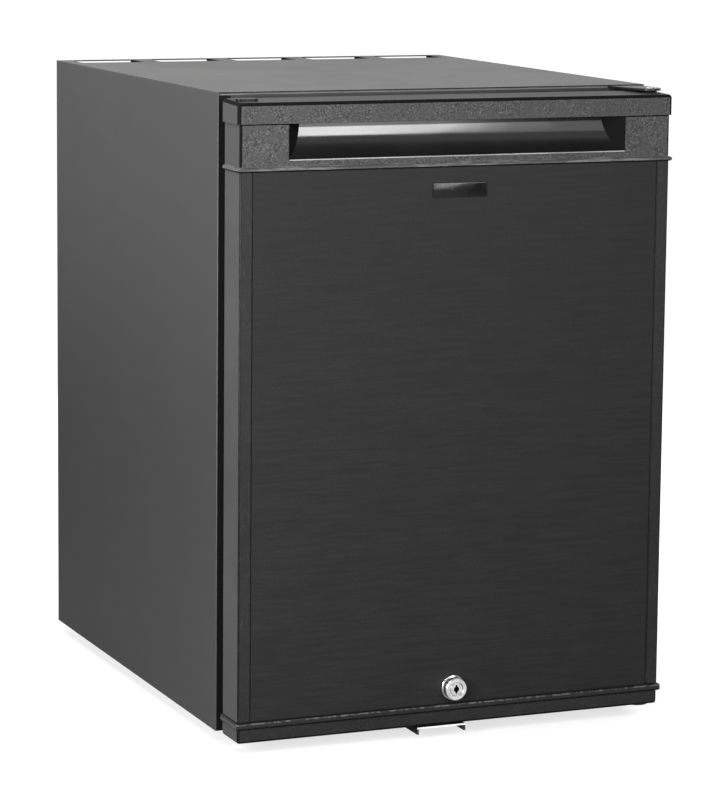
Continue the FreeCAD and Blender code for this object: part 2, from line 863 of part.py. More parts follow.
def door_top_cap():
    """Top cap with the wide band, the grip pocket behind it and the two bush holes."""
    half = half_door + trim_proud
    cap = block(-half, half, cap_front_y, door_back_y, band_bottom_z, door_top_z).cut(above_cap())

    def outer_edge(edge):
        at_front = edge.BoundBox.YMax < front_y
        at_top = edge.BoundBox.ZMin > door_top_z - band_radius
        along_side = at_top and not parallel(edge, X_AXIS)
        upright_edge = parallel(edge, Z_AXIS) and at_front
        return upright_edge or (at_top and at_front) or along_side

    cap = rounded(cap, band_radius, outer_edge)
    pocket_half = recess_half_width - recess_depth * recess_end_slope_share - grip_pocket_inset
    pocket = block(-pocket_half, pocket_half, front_y + grip_wall, front_y + recess_depth,
                   band_bottom_z - overrun, band_bottom_z + grip_pocket_height)
    above = door_top_z + overrun
    bush_hole = disc_z(bush_radius, hinge_x, hinge_y, door_top_z - bush_depth, above)
    plug_hole = disc_z(bush_radius, hinge_x, hinge_y, door_top_z - plug_stem_length, above)
    rebate = liner_rebate(band_bottom_z - overrun, liner_top_z)
    pocket = rounded_upright(pocket, grip_wall)
    return cap.cut([cap_hollow(), rebate, pocket, bush_hole, mirrored(plug_hole)])


def scoop(grow):
    """Space of the grip recess: a round trough with slanted ends, grown by a wall thickness."""
    radius = (recess_depth ** 2 + recess_height ** 2) / (2 * recess_depth)
    axis_y = front_y + recess_depth - radius
    half = recess_half_width + grow
    depth = recess_depth + grow
    back_half = half - depth * recess_end_slope_share
    slant = overrun * recess_end_slope_share
    corners = [(-half - slant, front_y - overrun), (half + slant, front_y - overrun),
               (back_half, front_y + depth), (-back_half, front_y + depth)]
    low = band_bottom_z - recess_height - grow
    outline = Part.makePolygon([Vector(x, y, low) for x, y in corners + corners[:1]])
    plan = Part.Face(outline).extrude(Vector(0, 0, recess_height + grow))
    trough = disc_x(radius + grow, -half - slant, half + slant, axis_y, band_bottom_z)
    front_slab = block(-half - slant, half + slant, front_y - overrun, front_y, low, band_bottom_z)
    return plan.common(joined(trough, front_slab))


def handle_hollow():
    """Foamed hollow of the handle moulding, behind the wall of the grip recess."""
    half = half_door - door_wall
    space = block(-half, half, front_y + door_wall, liner_front_y, handle_bottom_z, band_bottom_z)
    return space.cut(scoop(door_wall))


def bead(half, z0, z1):
    """Half-round bead that runs round the front and both sides of the door."""
    bar = block(-half - trim_proud, half + trim_proud, front_y - trim_proud, door_back_y, z0, z1)
    radius = min(trim_proud, (z1 - z0) / 2) * parallel_share

    def outer_edge(edge):
        at_front = edge.BoundBox.YMax < front_y
        return (parallel(edge, X_AXIS) and at_front) or parallel(edge, Y_AXIS)

    return rounded(bar, radius, outer_edge)


def handle_moulding():
    """Moulding across the door with the scooped grip recess and a bead along its lower edge."""
    body = block(-half_door, half_door, front_y, door_back_y, handle_bottom_z, band_bottom_z)
    body = rounded(body, handle_corner_radius,
                   lambda edge: parallel(edge, Z_AXIS) and edge.BoundBox.YMax < door_back_y)
    body = joined(body, bead(half_door, handle_bottom_z, handle_bottom_z + handle_bead_height))
    rebate = liner_rebate(handle_bottom_z - overrun, band_bottom_z + overrun)
    return body.cut([scoop(0), handle_hollow(), rebate])


def side_profile():
    """Right side profile: channel with a wide back flange and a narrower front flange over the panel."""
    inside = half_door - profile_wall
    step = front_y + profile_wall
    low = panel_bottom_z - overrun
    high = handle_bottom_z + overrun
    outer = block(liner_half, half_door, front_y, door_back_y, panel_bottom_z, handle_bottom_z)
    outer = rounded(outer, profile_wall, lambda edge: parallel(edge, Z_AXIS)
                    and edge.BoundBox.XMin > inside and edge.BoundBox.YMax < door_back_y)
    inner = block(liner_half - overrun, inside, step, liner_front_y, low, high)
    panel_side = block(liner_half - overrun, half_door - profile_flange, front_y - overrun, step, low, high)
    return outer.cut([inner, panel_side])


def front_panel():
    """Front panel: its edges lie behind the flanges and its middle stands forward between them."""
    back = foam_front_y
    step = front_y + profile_wall
    edge_half = half_door - profile_flange + panel_edge_cover
    middle_half = half_door - profile_flange - panel_groove
    sheet = block(-edge_half, edge_half, step, back, panel_bottom_z, handle_bottom_z)
    middle = block(-middle_half, middle_half, panel_front_y, step, panel_bottom_z, handle_bottom_z)
    hole = disc_y(barrel_radius + panel_hole_clearance, 0, panel_front_y - overrun, back + overrun, lock_z)
    return joined(sheet, middle).cut(hole)


def cam_pocket():
    """Flat space behind the lock in which the cam swings, open at the door's lower edge."""
    beyond_hub = cam_hub_radius + pocket_clearance
    return block(-cam_reach - pocket_clearance, beyond_hub, barrel_back_y - cam_pocket_side, pocket_back_y,
                 door_bottom_z - overrun, lock_z + beyond_hub)


def bottom_hollows():
    """Foamed hollows of the bottom cap, left and right of the cam pocket."""
    half = half_door - cap_end_length
    top = panel_bottom_z
    low = door_bottom_z + door_wall
    pocket = cam_pocket().BoundBox
    left = block(-half, pocket.XMin - door_wall, front_y + door_wall, liner_front_y, low, top)
    right = block(pocket.XMax + door_wall, half, front_y + door_wall, liner_front_y, low, top)
    return [left, right]


def bottom_cap():
    """Bottom cap with a bead along its upper edge, the cam slot and the bush hole."""
    half = half_door
    bead_z = panel_bottom_z - bottom_bead_height
    body = block(-half, half, front_y, door_back_y, door_bottom_z, bead_z)

    def outer_edge(edge):
        at_front = edge.BoundBox.YMax < door_back_y
        at_bottom = edge.BoundBox.ZMax < door_bottom_z + bottom_corner_radius
        return (parallel(edge, Z_AXIS) and at_front) or (at_bottom and (at_front or parallel(edge, Y_AXIS)))

    body = rounded(body, bottom_corner_radius, outer_edge)
    upper = block(-half, half, front_y, door_back_y, bead_z, panel_bottom_z)
    cap = joined(body, upper, bead(half, bead_z, panel_bottom_z))
    low = door_bottom_z - overrun
    bush_hole = disc_z(bush_radius, hinge_x, hinge_y, low, door_bottom_z + bush_depth)
    washer_room = disc_z(washer_radius + seat_gap, hinge_x, hinge_y, low, bush_foot_z)
    rebate = liner_rebate(liner_bottom_z, panel_bottom_z + overrun)
    return cap.cut(bottom_hollows() + [bush_hole, washer_room, rebate, cam_pocket()])


def plinth_fill():
    """Foam in the raised part of the inner liner."""
    half = plinth_half - liner_wall
    fill = block(-half, half, liner_front_y, cabinet_front_y - liner_wall,
                 plinth_bottom_z + liner_wall, plinth_top_z - liner_wall)
    return rounded_across_depth(fill, plinth_corner - liner_wall)


def door_foam():
    """Foam that fills the door, with room for the lock and its cam."""
    half = half_door - profile_wall
    core = block(-half, half, foam_front_y, liner_front_y, panel_bottom_z, handle_bottom_z)
    fill = joined(core, handle_hollow(), cap_hollow(), plinth_fill(), *bottom_hollows())
    front = foam_front_y - overrun
    barrel_hole = disc_y(barrel_radius + panel_hole_clearance, 0, front, pocket_back_y, lock_z)
    nut_room = disc_y(nut_radius + pocket_clearance / 2, 0, front,
                      foam_front_y + nut_thickness + pocket_clearance / 2, lock_z)
    return fill.cut([cam_pocket(), barrel_hole, nut_room])


# Door inner side

def rack_floor(height):
    """Height of the underside of a rack above the floor."""
    return plinth_bottom_z + height


def door_liner():
    """White inner liner with a raised plinth, and two cheeks that carry the racks."""
    sheet = block(-liner_half, liner_half, liner_front_y, door_back_y, liner_bottom_z, liner_top_z)
    plinth = block(-plinth_half, plinth_half, door_back_y, cabinet_front_y, plinth_bottom_z, plinth_top_z)
    plinth = rounded_across_depth(plinth, plinth_corner)
    base = joined(sheet, plinth).cut(plinth_fill())
    cheek = block(cheek_inner, plinth_half, cabinet_front_y, cheek_back_y,
                  plinth_bottom_z + plinth_corner, plinth_top_z - plinth_corner)
    cheek = rounded(cheek, cheek_corner, lambda edge: parallel(edge, X_AXIS)
                    and edge.BoundBox.YMin > cabinet_front_y + cheek_corner)
    parts = [base] + both_sides(cheek)
    for height in (lower_rack_height, upper_rack_height):
        top = rack_floor(height)
        ledge = block(cheek_inner - ledge_reach, cheek_inner + ledge_reach / 2, cabinet_front_y,
                      cheek_back_y - cheek_corner, top - ledge_thickness, top)
        parts.extend(both_sides(ledge))
    peg_hole = rail_peg(rack_side_clearance)
    return joined(*parts).cut(both_sides(peg_hole))


def rail_place():
    """Height of the middle of the bottle rail, and the place of its back face."""
    height = rack_floor(lower_rack_height) + lower_rack_wall_height + rail_above_rack
    return height, cheek_back_y - rack_front_gap


def rail_peg(clearance):
    """Round peg that holds the right end of the bottle rail in its cheek."""
    z, back = rail_place()
    y = back - rail_thickness / 2
    return disc_x(min(rail_peg_radius, rail_thickness / 2) + clearance, cheek_inner - rack_side_clearance,
                  cheek_inner + cheek_thickness / 2 + clearance, y, z)


def bottle_rail():
    """Rail between the cheeks that keeps tall bottles in the lower rack."""
    z, back = rail_place()
    half = cheek_inner - rack_side_clearance
    bar = block(-half, half, back - rail_thickness, back, z - rail_height / 2, z + rail_height / 2)
    return joined(bar, *both_sides(rail_peg(0)))


def door_rack(height, wall_height):
    """Open rack between the cheeks, with windows in its outer wall."""
    half = cheek_inner - rack_side_clearance
    y0 = cabinet_front_y
    y1 = cheek_back_y - rack_front_gap
    z0 = rack_floor(height)

    def back_corner(edge):
        return parallel(edge, Z_AXIS) and edge.BoundBox.YMin > y0 + rack_corner

    rack = rounded(block(-half, half, y0, y1, z0, z0 + wall_height), rack_corner, back_corner)
    hollow = block(rack_wall - half, half - rack_wall, y0 + rack_wall, y1 - rack_wall, z0 + rack_wall,
                   z0 + wall_height + overrun)
    hollow = rounded(hollow, rack_corner - rack_wall, back_corner)
    span = 2 * (half - rack_window_rail)
    pitch = (span + rack_window_gap) / rack_window_count
    window_top = z0 + wall_height - rack_window_rail
    windows = []
    for index in range(rack_window_count):
        x0 = rack_window_rail - half + index * pitch
        window = block(x0, x0 + pitch - rack_window_gap, y1 - rack_wall - overrun, y1 + overrun,
                       window_top - rack_window_height, window_top)
        windows.append(rounded_across_depth(window, rack_corner))
    return rack.cut([hollow] + windows)


def gasket_ring(inset, width, y0, y1):
    """One layer of the gasket, all round the door."""
    half = half_door - gasket_inset - inset
    margin = door_liner_margin + seat_gap + inset
    return frame_ring(half, door_bottom_z + margin, door_top_z - margin, width, y0, y1)


def gasket_head_front():
    """Front face of the gasket's magnet pocket."""
    return cabinet_front_y - seat_gap - gasket_head_thickness


def magnet_ring():
    """Space of the magnet strips inside the gasket."""
    y1 = cabinet_front_y - seat_gap - magnet_front_cover
    return gasket_ring(magnet_inset, magnet_width, y1 - magnet_thickness, y1)


def gasket():
    """Soft gasket: a base on the liner, a narrow bellows and a head that holds the magnets."""
    bellows_y = door_back_y + gasket_base
    head_y = gasket_head_front()
    base = gasket_ring(0, gasket_width, door_back_y, bellows_y)
    bellows = gasket_ring(gasket_bellows_inset, gasket_bellows_width, bellows_y, head_y)
    head = gasket_ring(gasket_head_inset, gasket_head_width, head_y, cabinet_front_y - seat_gap)
    return joined(base, bellows, head).cut(magnet_ring())


def gasket_magnets():
    """Four magnet strips, two long upright ones between two level ones."""
    ring = magnet_ring().BoundBox
    low = ring.ZMin + magnet_width
    high = ring.ZMax - magnet_width
    lower = block(ring.XMin, ring.XMax, ring.YMin, ring.YMax, ring.ZMin, low)
    upper = block(ring.XMin, ring.XMax, ring.YMin, ring.YMax, high, ring.ZMax)
    upright = block(ring.XMax - magnet_width, ring.XMax, ring.YMin, ring.YMax, low, high)
    return Part.makeCompound([lower, upper] + both_sides(upright))


# Lock and keeper

def lock_barrel():
    """Fixed barrel of the lock: round bezel in front of the panel and a threaded body behind it."""
    bezel = disc_y(bezel_radius, 0, lock_front_y, panel_front_y, lock_z)
    bezel = rounded(bezel, bezel_rounding, lambda edge: edge.BoundBox.YMax < lock_front_y + bezel_rounding
                    and edge.BoundBox.YLength < bezel_rounding)
    body = disc_y(barrel_radius, 0, panel_front_y, barrel_back_y, lock_z)
    bore = disc_y(plug_radius + pin_clearance, 0, lock_front_y - overrun, barrel_back_y + overrun, lock_z)
    return joined(bezel, body).cut(bore)


def lock_nut():
    """Hexagonal nut behind the front panel."""
    corners = []
    for step in range(nut_sides + 1):
        turn = 2 * math.pi * step / nut_sides
        corners.append(Vector(nut_radius * math.cos(turn), foam_front_y, lock_z + nut_radius * math.sin(turn)))
    nut = Part.Face(Part.makePolygon(corners)).extrude(Vector(0, nut_thickness, 0))
    back = foam_front_y + nut_thickness + overrun
    return nut.cut(disc_y(barrel_radius, 0, foam_front_y - overrun, back, lock_z))


def cam_screw_hole():
    """Threaded end of the cam screw."""
    return disc_y(screw_radius, 0, cam_front_y - cam_screw_length, cam_back_y, lock_z)


def lock_cylinder():
    """Turning cylinder with the keyhole in front and a square tail for the cam."""
    face_y = lock_front_y + plug_recess
    body = disc_y(plug_radius, 0, face_y, cam_front_y, lock_z)
    tail = block(-tail_half_size, tail_half_size, cam_front_y, cam_back_y,
                 lock_z - tail_half_size, lock_z + tail_half_size)
    keyhole = block(-key_slot_width / 2, key_slot_width / 2, face_y - overrun, face_y + key_slot_depth,
                    lock_z - key_slot_height / 2, lock_z + key_slot_height / 2)
    return joined(body, tail).cut([keyhole, cam_screw_hole()])


def lock_cam():
    """Cam plate: round hub on the square tail and an arm with a round end, pointing left when unlocked."""
    end_x = cam_half_width - cam_reach
    hub = disc_y(cam_hub_radius, 0, cam_front_y, cam_back_y, lock_z)
    arm = block(end_x, 0, cam_front_y, cam_back_y, lock_z - cam_half_width, lock_z + cam_half_width)
    end = disc_y(cam_half_width, end_x, cam_front_y, cam_back_y, lock_z)
    tail_hole = block(-tail_half_size, tail_half_size, cam_front_y - overrun, cam_back_y + overrun,
                      lock_z - tail_half_size, lock_z + tail_half_size)
    return joined(hub, arm, end).cut(tail_hole)


def cam_screw():
    """Screw that holds the cam on the tail."""
    head = disc_y(cam_screw_radius, 0, cam_back_y, screw_back_y, lock_z)
    return joined(head, cam_screw_hole())


def keeper_bracket():
    """Inverted channel under the base and the door, with the slot that the cam drops into."""
    y0 = front_y
    y1 = cabinet_front_y + keeper_back_reach
    plate_z = base_z - keeper_sheet
    channel = block(-keeper_left, keeper_right, y0, y1, base_z - keeper_drop, base_z)
    hollow = block(keeper_sheet - keeper_left, keeper_right - keeper_sheet, y0 - overrun, y1 + overrun,
                   base_z - keeper_drop - overrun, plate_z)
    slot = block(-keeper_slot_left, keeper_slot_right, cam_front_y - keeper_slot_side,
                 cam_back_y + keeper_slot_side, plate_z - overrun, base_z + overrun)
    return channel.cut([hollow, slot] + base_screws(0)[1])


# Cooling unit

def boiler_casing():
    """Insulated casing of the boiler, with stepped round ends."""
    z0 = base_z + boiler_bottom
    z1 = z0 + boiler_height
    body = disc_z(boiler_radius, boiler_x, unit_y, z0, z1)
    lower = cone_z(boiler_cap_radius, boiler_radius, boiler_x, unit_y, z0 - boiler_cap_height, z0)
    upper = cone_z(boiler_radius, boiler_cap_radius, boiler_x, unit_y, z1, z1 + boiler_cap_height)
    return joined(lower, body, upper)


def condenser():
    """Riser from the boiler and the finned condenser tube under the top vents, down to the inlet."""
    riser_foot = base_z + boiler_bottom + boiler_height + boiler_cap_height
    inlet_x = evaporator_tube_x - evaporator_tube_radius
    path = [(boiler_x, riser_foot), (boiler_x, condenser_z), (condenser_turn_x, condenser_z),
            (condenser_turn_x, inlet_z), (inlet_x, inlet_z)]
    tube = pipe([Vector(x, unit_y, z) for x, z in path], riser_radius, condenser_bend)
    first_x = boiler_x + fin_start
    last_x = condenser_turn_x - condenser_bend - fin_end_gap
    half = fin_height / 2
    fins = []
    for index in range(fin_count):
        x = first_x + (last_x - first_x) * index / (fin_count - 1)
        fins.append(block(x, x + fin_sheet, unit_y - half, unit_back_y,
                          condenser_z - half, condenser_z + half))
    return joined(tube, *fins)


def absorber_coil():
    """Absorber coil: level runs joined by turns, from the gas return down to the vessel."""
    points = []
    x = evaporator_tube_x - evaporator_tube_radius
    for run in range(coil_runs):
        z = return_z - run * coil_pitch
        points.append(Vector(x, unit_y, z))
        x = coil_left_x if run % 2 else coil_right_x
        points.append(Vector(x, unit_y, z))
    points.append(Vector(x, unit_y, collar_top_z))
    return pipe(points, coil_tube_radius, coil_bend_share * coil_pitch)


def absorber_vessel():
    """Level tank that collects the solution, with a collar under the coil and a tube to the boiler."""
    boiler_side_x = boiler_x + boiler_radius
    x0 = boiler_side_x + vessel_boiler_gap
    tank = disc_x(vessel_radius, x0, half_cabinet - vessel_side_inset, unit_y, vessel_z)
    tank = rounded(tank, vessel_end_rounding, lambda edge: edge.BoundBox.XLength < vessel_end_rounding)
    tube = disc_x(exchanger_radius, boiler_side_x, x0 + vessel_end_rounding, unit_y, vessel_z)
    collar = disc_z(vessel_collar_radius, coil_left_x, unit_y, vessel_z, collar_top_z)
    return joined(tank, tube, collar)


def unit_rails():
    """Two level strips between the side panels that carry the cooling unit."""
    y0 = unit_back_y + seat_gap
    strips = []
    for z in (base_z + lower_strip_height, cabinet_top_z - upper_strip_drop):
        strips.append(block(-inner_half, inner_half, y0, y0 + rail_strip_sheet, z, z + rail_strip_height))
    return Part.makeCompound(strips)


def module_box():
    """Place of the power module on the base sheet."""
    x1 = half_cabinet - module_side_inset
    y1 = unit_back_y
    return x1 - module_length, x1, y1 - module_depth, y1, floor_sheet_z, floor_sheet_z + module_height


def power_module():
    """Closed box with the control electronics."""
    return rounded_upright(block(*module_box()), module_rounding)


def cord_gland():
    """Empty gland in the back of the power module."""
    x0, x1, y0, y1, z0, z1 = module_box()
    middle = Vector((x0 + x1) / 2, y1, (z0 + z1) / 2)
    gland = Part.makeCone(gland_radius, gland_tip_radius, gland_length, middle, Y_AXIS)
    return gland.cut(disc_y(gland_bore_radius, middle.x, y1, y1 + gland_length + overrun, middle.z))


hinge_screws, keeper_screws = base_screws(0)
nodes = {
    "side_panel_left": mirrored(side_panel()),
    "side_panel_right": side_panel().cut(hinge_slot()),
    "top_panel": top_panel(),
    "base_panel": base_panel(),
    "rear_bulkhead": rear_bulkhead(),
    "front_frame": front_frame().cut(hinge_slot()),
    "insulation_foam": insulation_foam(),
    "inner_liner": inner_liner(),
    "lower_shelf": wire_shelf(lower_shelf_rib),
    "upper_shelf": wire_shelf(upper_shelf_rib),
    "evaporator": evaporator(),
    "drip_tray": drip_tray(),
    "lamp_housing": lamp_housing(),
    "lamp_lens": lamp_lens(),
    "levelling_feet": levelling_feet(),
    "top_hinge_plate": top_hinge_plate(),
    "top_hinge_pin": top_hinge_pin(),
    "spare_nut_plate": spare_nut_plate(),
    "top_screws": Part.makeCompound(top_screw_holes(0)),
    "bottom_hinge_plate": bottom_hinge_plate(),
    "bottom_hinge_pin": bottom_hinge_pin(),
    "bottom_hinge_screws": Part.makeCompound(hinge_screws),
    "hinge_washer": hinge_washer(),
    "keeper_bracket": keeper_bracket(),
    "keeper_screws": Part.makeCompound(keeper_screws),
    "boiler_casing": boiler_casing(),
    "condenser": condenser(),
    "absorber_coil": absorber_coil(),
    "absorber_vessel": absorber_vessel(),
    "unit_rails": unit_rails(),
    "power_module": power_module(),
    "cord_gland": cord_gland(),
    "door_top_cap": door_top_cap(),
    "handle_moulding": handle_moulding(),
    "side_profile_left": mirrored(side_profile()),
    "side_profile_right": side_profile(),
    "front_panel": front_panel(),
    "bottom_cap": bottom_cap(),
    "door_foam": door_foam(),
    "door_liner": door_liner(),
    "gasket": gasket(),
    "gasket_magnets": gasket_magnets(),
    "lower_rack": door_rack(lower_rack_height, lower_rack_wall_height),
    "upper_rack": door_rack(upper_rack_height, upper_rack_wall_height),
    "bottle_rail": bottle_rail(),
    "top_hinge_bush": top_hinge_bush(),
    "bottom_hinge_bush": bottom_hinge_bush(),
    "spare_hinge_plug": spare_hinge_plug(),
    "lock_barrel": lock_barrel(),
    "lock_nut": lock_nut(),
    "lock_cylinder": lock_cylinder(),
    "lock_cam": lock_cam(),
    "cam_screw": cam_screw(),
}

os.makedirs("parts", exist_ok=True)
for name, shape in nodes.items():
    shape.exportStep("parts/" + name + ".step")
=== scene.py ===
"""Finishes, dressed pieces, stage and camera of a minibar fridge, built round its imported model."""
import math

import bmesh
import bpy
from mathutils import Matrix, Vector


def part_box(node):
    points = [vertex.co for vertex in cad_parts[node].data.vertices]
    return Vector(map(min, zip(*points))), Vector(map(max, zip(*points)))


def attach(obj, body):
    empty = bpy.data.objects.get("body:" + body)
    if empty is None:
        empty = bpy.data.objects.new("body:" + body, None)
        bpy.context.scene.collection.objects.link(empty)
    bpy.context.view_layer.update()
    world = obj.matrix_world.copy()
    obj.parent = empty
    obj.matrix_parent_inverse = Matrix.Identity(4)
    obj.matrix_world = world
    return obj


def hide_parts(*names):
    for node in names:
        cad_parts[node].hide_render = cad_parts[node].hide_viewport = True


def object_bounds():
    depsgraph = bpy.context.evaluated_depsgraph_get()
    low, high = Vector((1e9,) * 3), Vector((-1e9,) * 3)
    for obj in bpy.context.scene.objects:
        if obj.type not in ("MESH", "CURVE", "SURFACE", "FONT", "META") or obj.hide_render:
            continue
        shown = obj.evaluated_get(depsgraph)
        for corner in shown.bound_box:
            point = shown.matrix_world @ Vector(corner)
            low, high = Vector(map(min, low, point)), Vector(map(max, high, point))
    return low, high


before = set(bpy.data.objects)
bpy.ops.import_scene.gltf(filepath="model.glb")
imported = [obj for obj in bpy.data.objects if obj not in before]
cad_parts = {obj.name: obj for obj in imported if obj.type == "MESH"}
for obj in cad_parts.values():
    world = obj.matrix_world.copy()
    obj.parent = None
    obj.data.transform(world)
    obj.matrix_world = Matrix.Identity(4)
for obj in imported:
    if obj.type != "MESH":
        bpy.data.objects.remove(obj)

cad_low, cad_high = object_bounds()

bl_info = {
    "name": "Minibar Fridge Finisher",
    "version": (1, 0, 0),
    "blender": (4, 5, 0),
    "location": "3D View > Sidebar > Fridge",
    "description": "Dresses the packed minibar fridge with its finishes, small parts, stage and camera",
    "category": "Object",
}

MM = 0.001
UP = Matrix.Identity(4)
DOWN = Matrix.Rotation(math.radians(180), 4, "X")
FRONT = Matrix.Rotation(math.radians(90), 4, "X")
REAR = Matrix.Rotation(math.radians(-90), 4, "X")
RIGHT = Matrix.Rotation(math.radians(90), 4, "Y")

# Tones of edge wear, which also serve as painted edge highlight, and of dust
COAT_WEAR_AND_HIGHLIGHT = (0.09, 0.09, 0.09, 1.0)
KEEPER_WEAR_AND_HIGHLIGHT = (0.10, 0.10, 0.10, 1.0)
NYLON_WEAR_AND_HIGHLIGHT = (0.07, 0.07, 0.07, 1.0)
TUBE_WEAR_AND_HIGHLIGHT = (0.12, 0.11, 0.10, 1.0)
FLECK = (0.20, 0.20, 0.20, 1.0)
COAT_DUST = (0.30, 0.29, 0.27, 1.0)
TUBE_DUST = (0.24, 0.22, 0.20, 1.0)

# Rings of the round forms, each a (radius, height) in millimetres
FLUSH_SCREW = [(3.85, 0), (4.0, -0.15), (2.0, -2.2), (2.0, -12)]
BASE_SCREW = [(2.9, 0), (3.6, -0.35), (4.0, -1.1), (4.0, -2.2), (2.0, -2.2), (2.0, -14.2)]
RAIL_SCREW = [(2.9, 0), (3.6, -0.35), (4.0, -1.1), (4.0, -2.0), (2.0, -2.0), (2.0, -4.0)]
CLAMP_SCREW = [(2.9, 0), (3.4, -0.3), (3.6, -0.9), (3.6, -1.8), (2.0, -1.8), (2.0, -3.0)]
LID_SCREW = [(2.9, 0), (3.4, -0.3), (3.6, -0.9), (3.6, -1.4), (2.0, -1.4), (2.0, -2.2)]
FOOT = [(0, 0), (13.8, 0), (15.2, 0.5), (16, 1.6), (16, 6.4), (15.2, 7.5), (13.6, 8), (8.6, 8), (8, 8.6), (8, 12),
        (4, 12), (4, 29.6), (3.6, 30), (0, 30)]

# Section of the gasket, each point an (inset, depth) in millimetres
GASKET_FOLDS = [(0, 0), (13.5, 0), (13.5, 1.8), (10.6, 2.6), (11.2, 4.4), (9.7, 6.0), (11.2, 7.8), (10.2, 9.4),
                (12.7, 10.6), (12.9, 14.2), (12.5, 14.7), (0.9, 14.7), (0.5, 14.2), (0.7, 10.6), (3.3, 9.4),
                (2.3, 7.8), (3.8, 6.0), (2.3, 4.4), (2.9, 2.6), (0, 1.8)]

# Small distances of the dressed pieces
SCREW_RADIUS = 4 * MM
FOLD_INSET = 1.5 * MM
FOLD_GAP = 2 * MM
FOLD_DROP = 1.9 * MM
RAIL_SCREW_SIDE = 14 * MM
RAIL_SCREW_MIDDLE = -54 * MM
RAIL_SCREW_END = 10 * MM
RAIL_SCREW_RISE = 2 * MM
BORE_GAP = 0.1 * MM
BORE_CHAMFER = 0.15 * MM
FLANGE_CHAMFER = 0.3 * MM
THREAD_SET_IN = 2 * MM
FACE_CHAMFER = 0.5 * MM
CLAMP_INSET = 62 * MM
CLAMP_SCREW_RISE = 4.4 * MM
LUG_HALF = 6 * MM
LUG_INNER = 1 * MM
LUG_OUTER = 3 * MM
LUG_CORNER = 1 * MM
LUG_SOFT = 0.3 * MM
COIL_RADIUS = 7 * MM
COLLAR_WELD = 7.4 * MM
CASING_WELD = 8.4 * MM
VESSEL_WELD = 5.4 * MM
VESSEL_WELD_INSET = 20 * MM
VESSEL_RADIUS = 27 * MM
LID_OVERHANG = 0.8 * MM
LID_CORNER = 3.5 * MM
LID_SOFT = 0.4 * MM
LID_SCREW_INSET = 9 * MM
LID_SCREW_RISE = 1.3 * MM
FOOT_RADIUS = 16 * MM
FOOT_STEPS = 48

# Half the side of the cylinder's square tail, as a share of the cylinder's radius
TAIL_SHARE = 7 / 12
# Size of a cross recess at its bottom, as a share of its size at the face
CROSS_TAPER = 0.5
SHARP_ANGLE = math.radians(32)
BEVEL_ANGLE = math.radians(38)
FLOOR_RADIUS = 20.0


# Settings that a user may change

def colour(name, text, red, green=None, blue=None):
    """Colour setting; a single value gives a neutral grey."""
    tint = (red, red if green is None else green, red if blue is None else blue, 1.0)
    return bpy.props.FloatVectorProperty(name=name, description=text, subtype="COLOR", size=4, min=0.0, max=1.0,
                                         default=tint)


def length(name, text, millimetres):
    """Length setting, given in millimetres."""
    return bpy.props.FloatProperty(name=name, description=text, subtype="DISTANCE", unit="LENGTH",
                                   default=millimetres * MM)


def share(name, text, value):
    """Setting without a unit."""
    return bpy.props.FloatProperty(name=name, description=text, default=value)


def angle(name, text, degrees):
    """Angle setting, given in degrees."""
    return bpy.props.FloatProperty(name=name, description=text, subtype="ANGLE", unit="ROTATION",
                                   default=math.radians(degrees))


class FridgeColours(bpy.types.PropertyGroup):
    """Base colours of the finishes."""
    powder: colour("Powder coat", "Black powder coat of the cabinet steel", 0.028)
    grained: colour("Grained plastic", "Flat grained faces of the door mouldings", 0.048)
    # Also painted on the beads, along the bottom cap's top and on the fold under the top sheet, as highlight
    crest_and_highlight: colour("Grain crest", "Worn crests of the grain and the beads", 0.14)
    # Painted highlight along the lower edge of the grip recess
    lip: colour("Grip lip", "Lip of the grip recess, worn bright", 0.34)
    # Also painted as a shadow line under the door's top cap
    polished: colour("Moulded edge", "Smooth rounded edges, seams and pits", 0.004)
    # Front faces of the profiles and bottom cap take this darker tone and their side faces the grained tone:
    # painted light and shade by facing
    profile: colour("Side profile", "Front of the side profiles and the bottom cap", 0.012)
    panel: colour("Door panel", "Front panel and the grip recess", 0.0105)
    liner: colour("Liner", "White plastic of liners, racks and tray", 0.62, 0.63, 0.62)
    foam: colour("Foam", "Insulation foam", 0.69, 0.55, 0.26)
    rubber: colour("Gasket", "Rubber of the door gasket", 0.012)
    magnet: colour("Magnet strip", "Magnet strips in the gasket", 0.03, 0.028, 0.027)
    chrome: colour("Chrome", "Lock face", 0.86, 0.86, 0.87)
    # Painted shade inside the key slot
    keyway_shade: colour("Keyway", "Oiled inside of the key slot", 0.02)
    # Painted highlight along the front edge of the keeper's web
    web_edge_highlight: colour("Bare edge", "Sheared steel edge of the keeper", 0.80)
    # Also painted on the cabinet's front faces and given to the front frame, as shade in the gap behind the door
    blackened_and_gap_shade: colour("Blackened steel", "Front frame, hinge plates and black screws", 0.005)
    zinc: colour("Zinc", "Zinc plated steel", 0.46, 0.47, 0.48)
    aluminium: colour("Aluminium", "Cast evaporator", 0.56, 0.57, 0.58)
    lens: colour("Lamp lens", "Frosted lens of the lamp", 0.86, 0.88, 0.86)
    wire: colour("Shelf wire", "Plastic coat of the shelf wires", 0.72, 0.72, 0.71)
    nylon: colour("Nylon", "Feet, bushes and power module", 0.014)
    unit: colour("Cooling unit", "Black paint of the cooling unit", 0.018)
    plate: colour("Blank plate", "Bare plate on the front panel", 0.004)
    floor: colour("Floor", "Floor of the stage", 0.35)


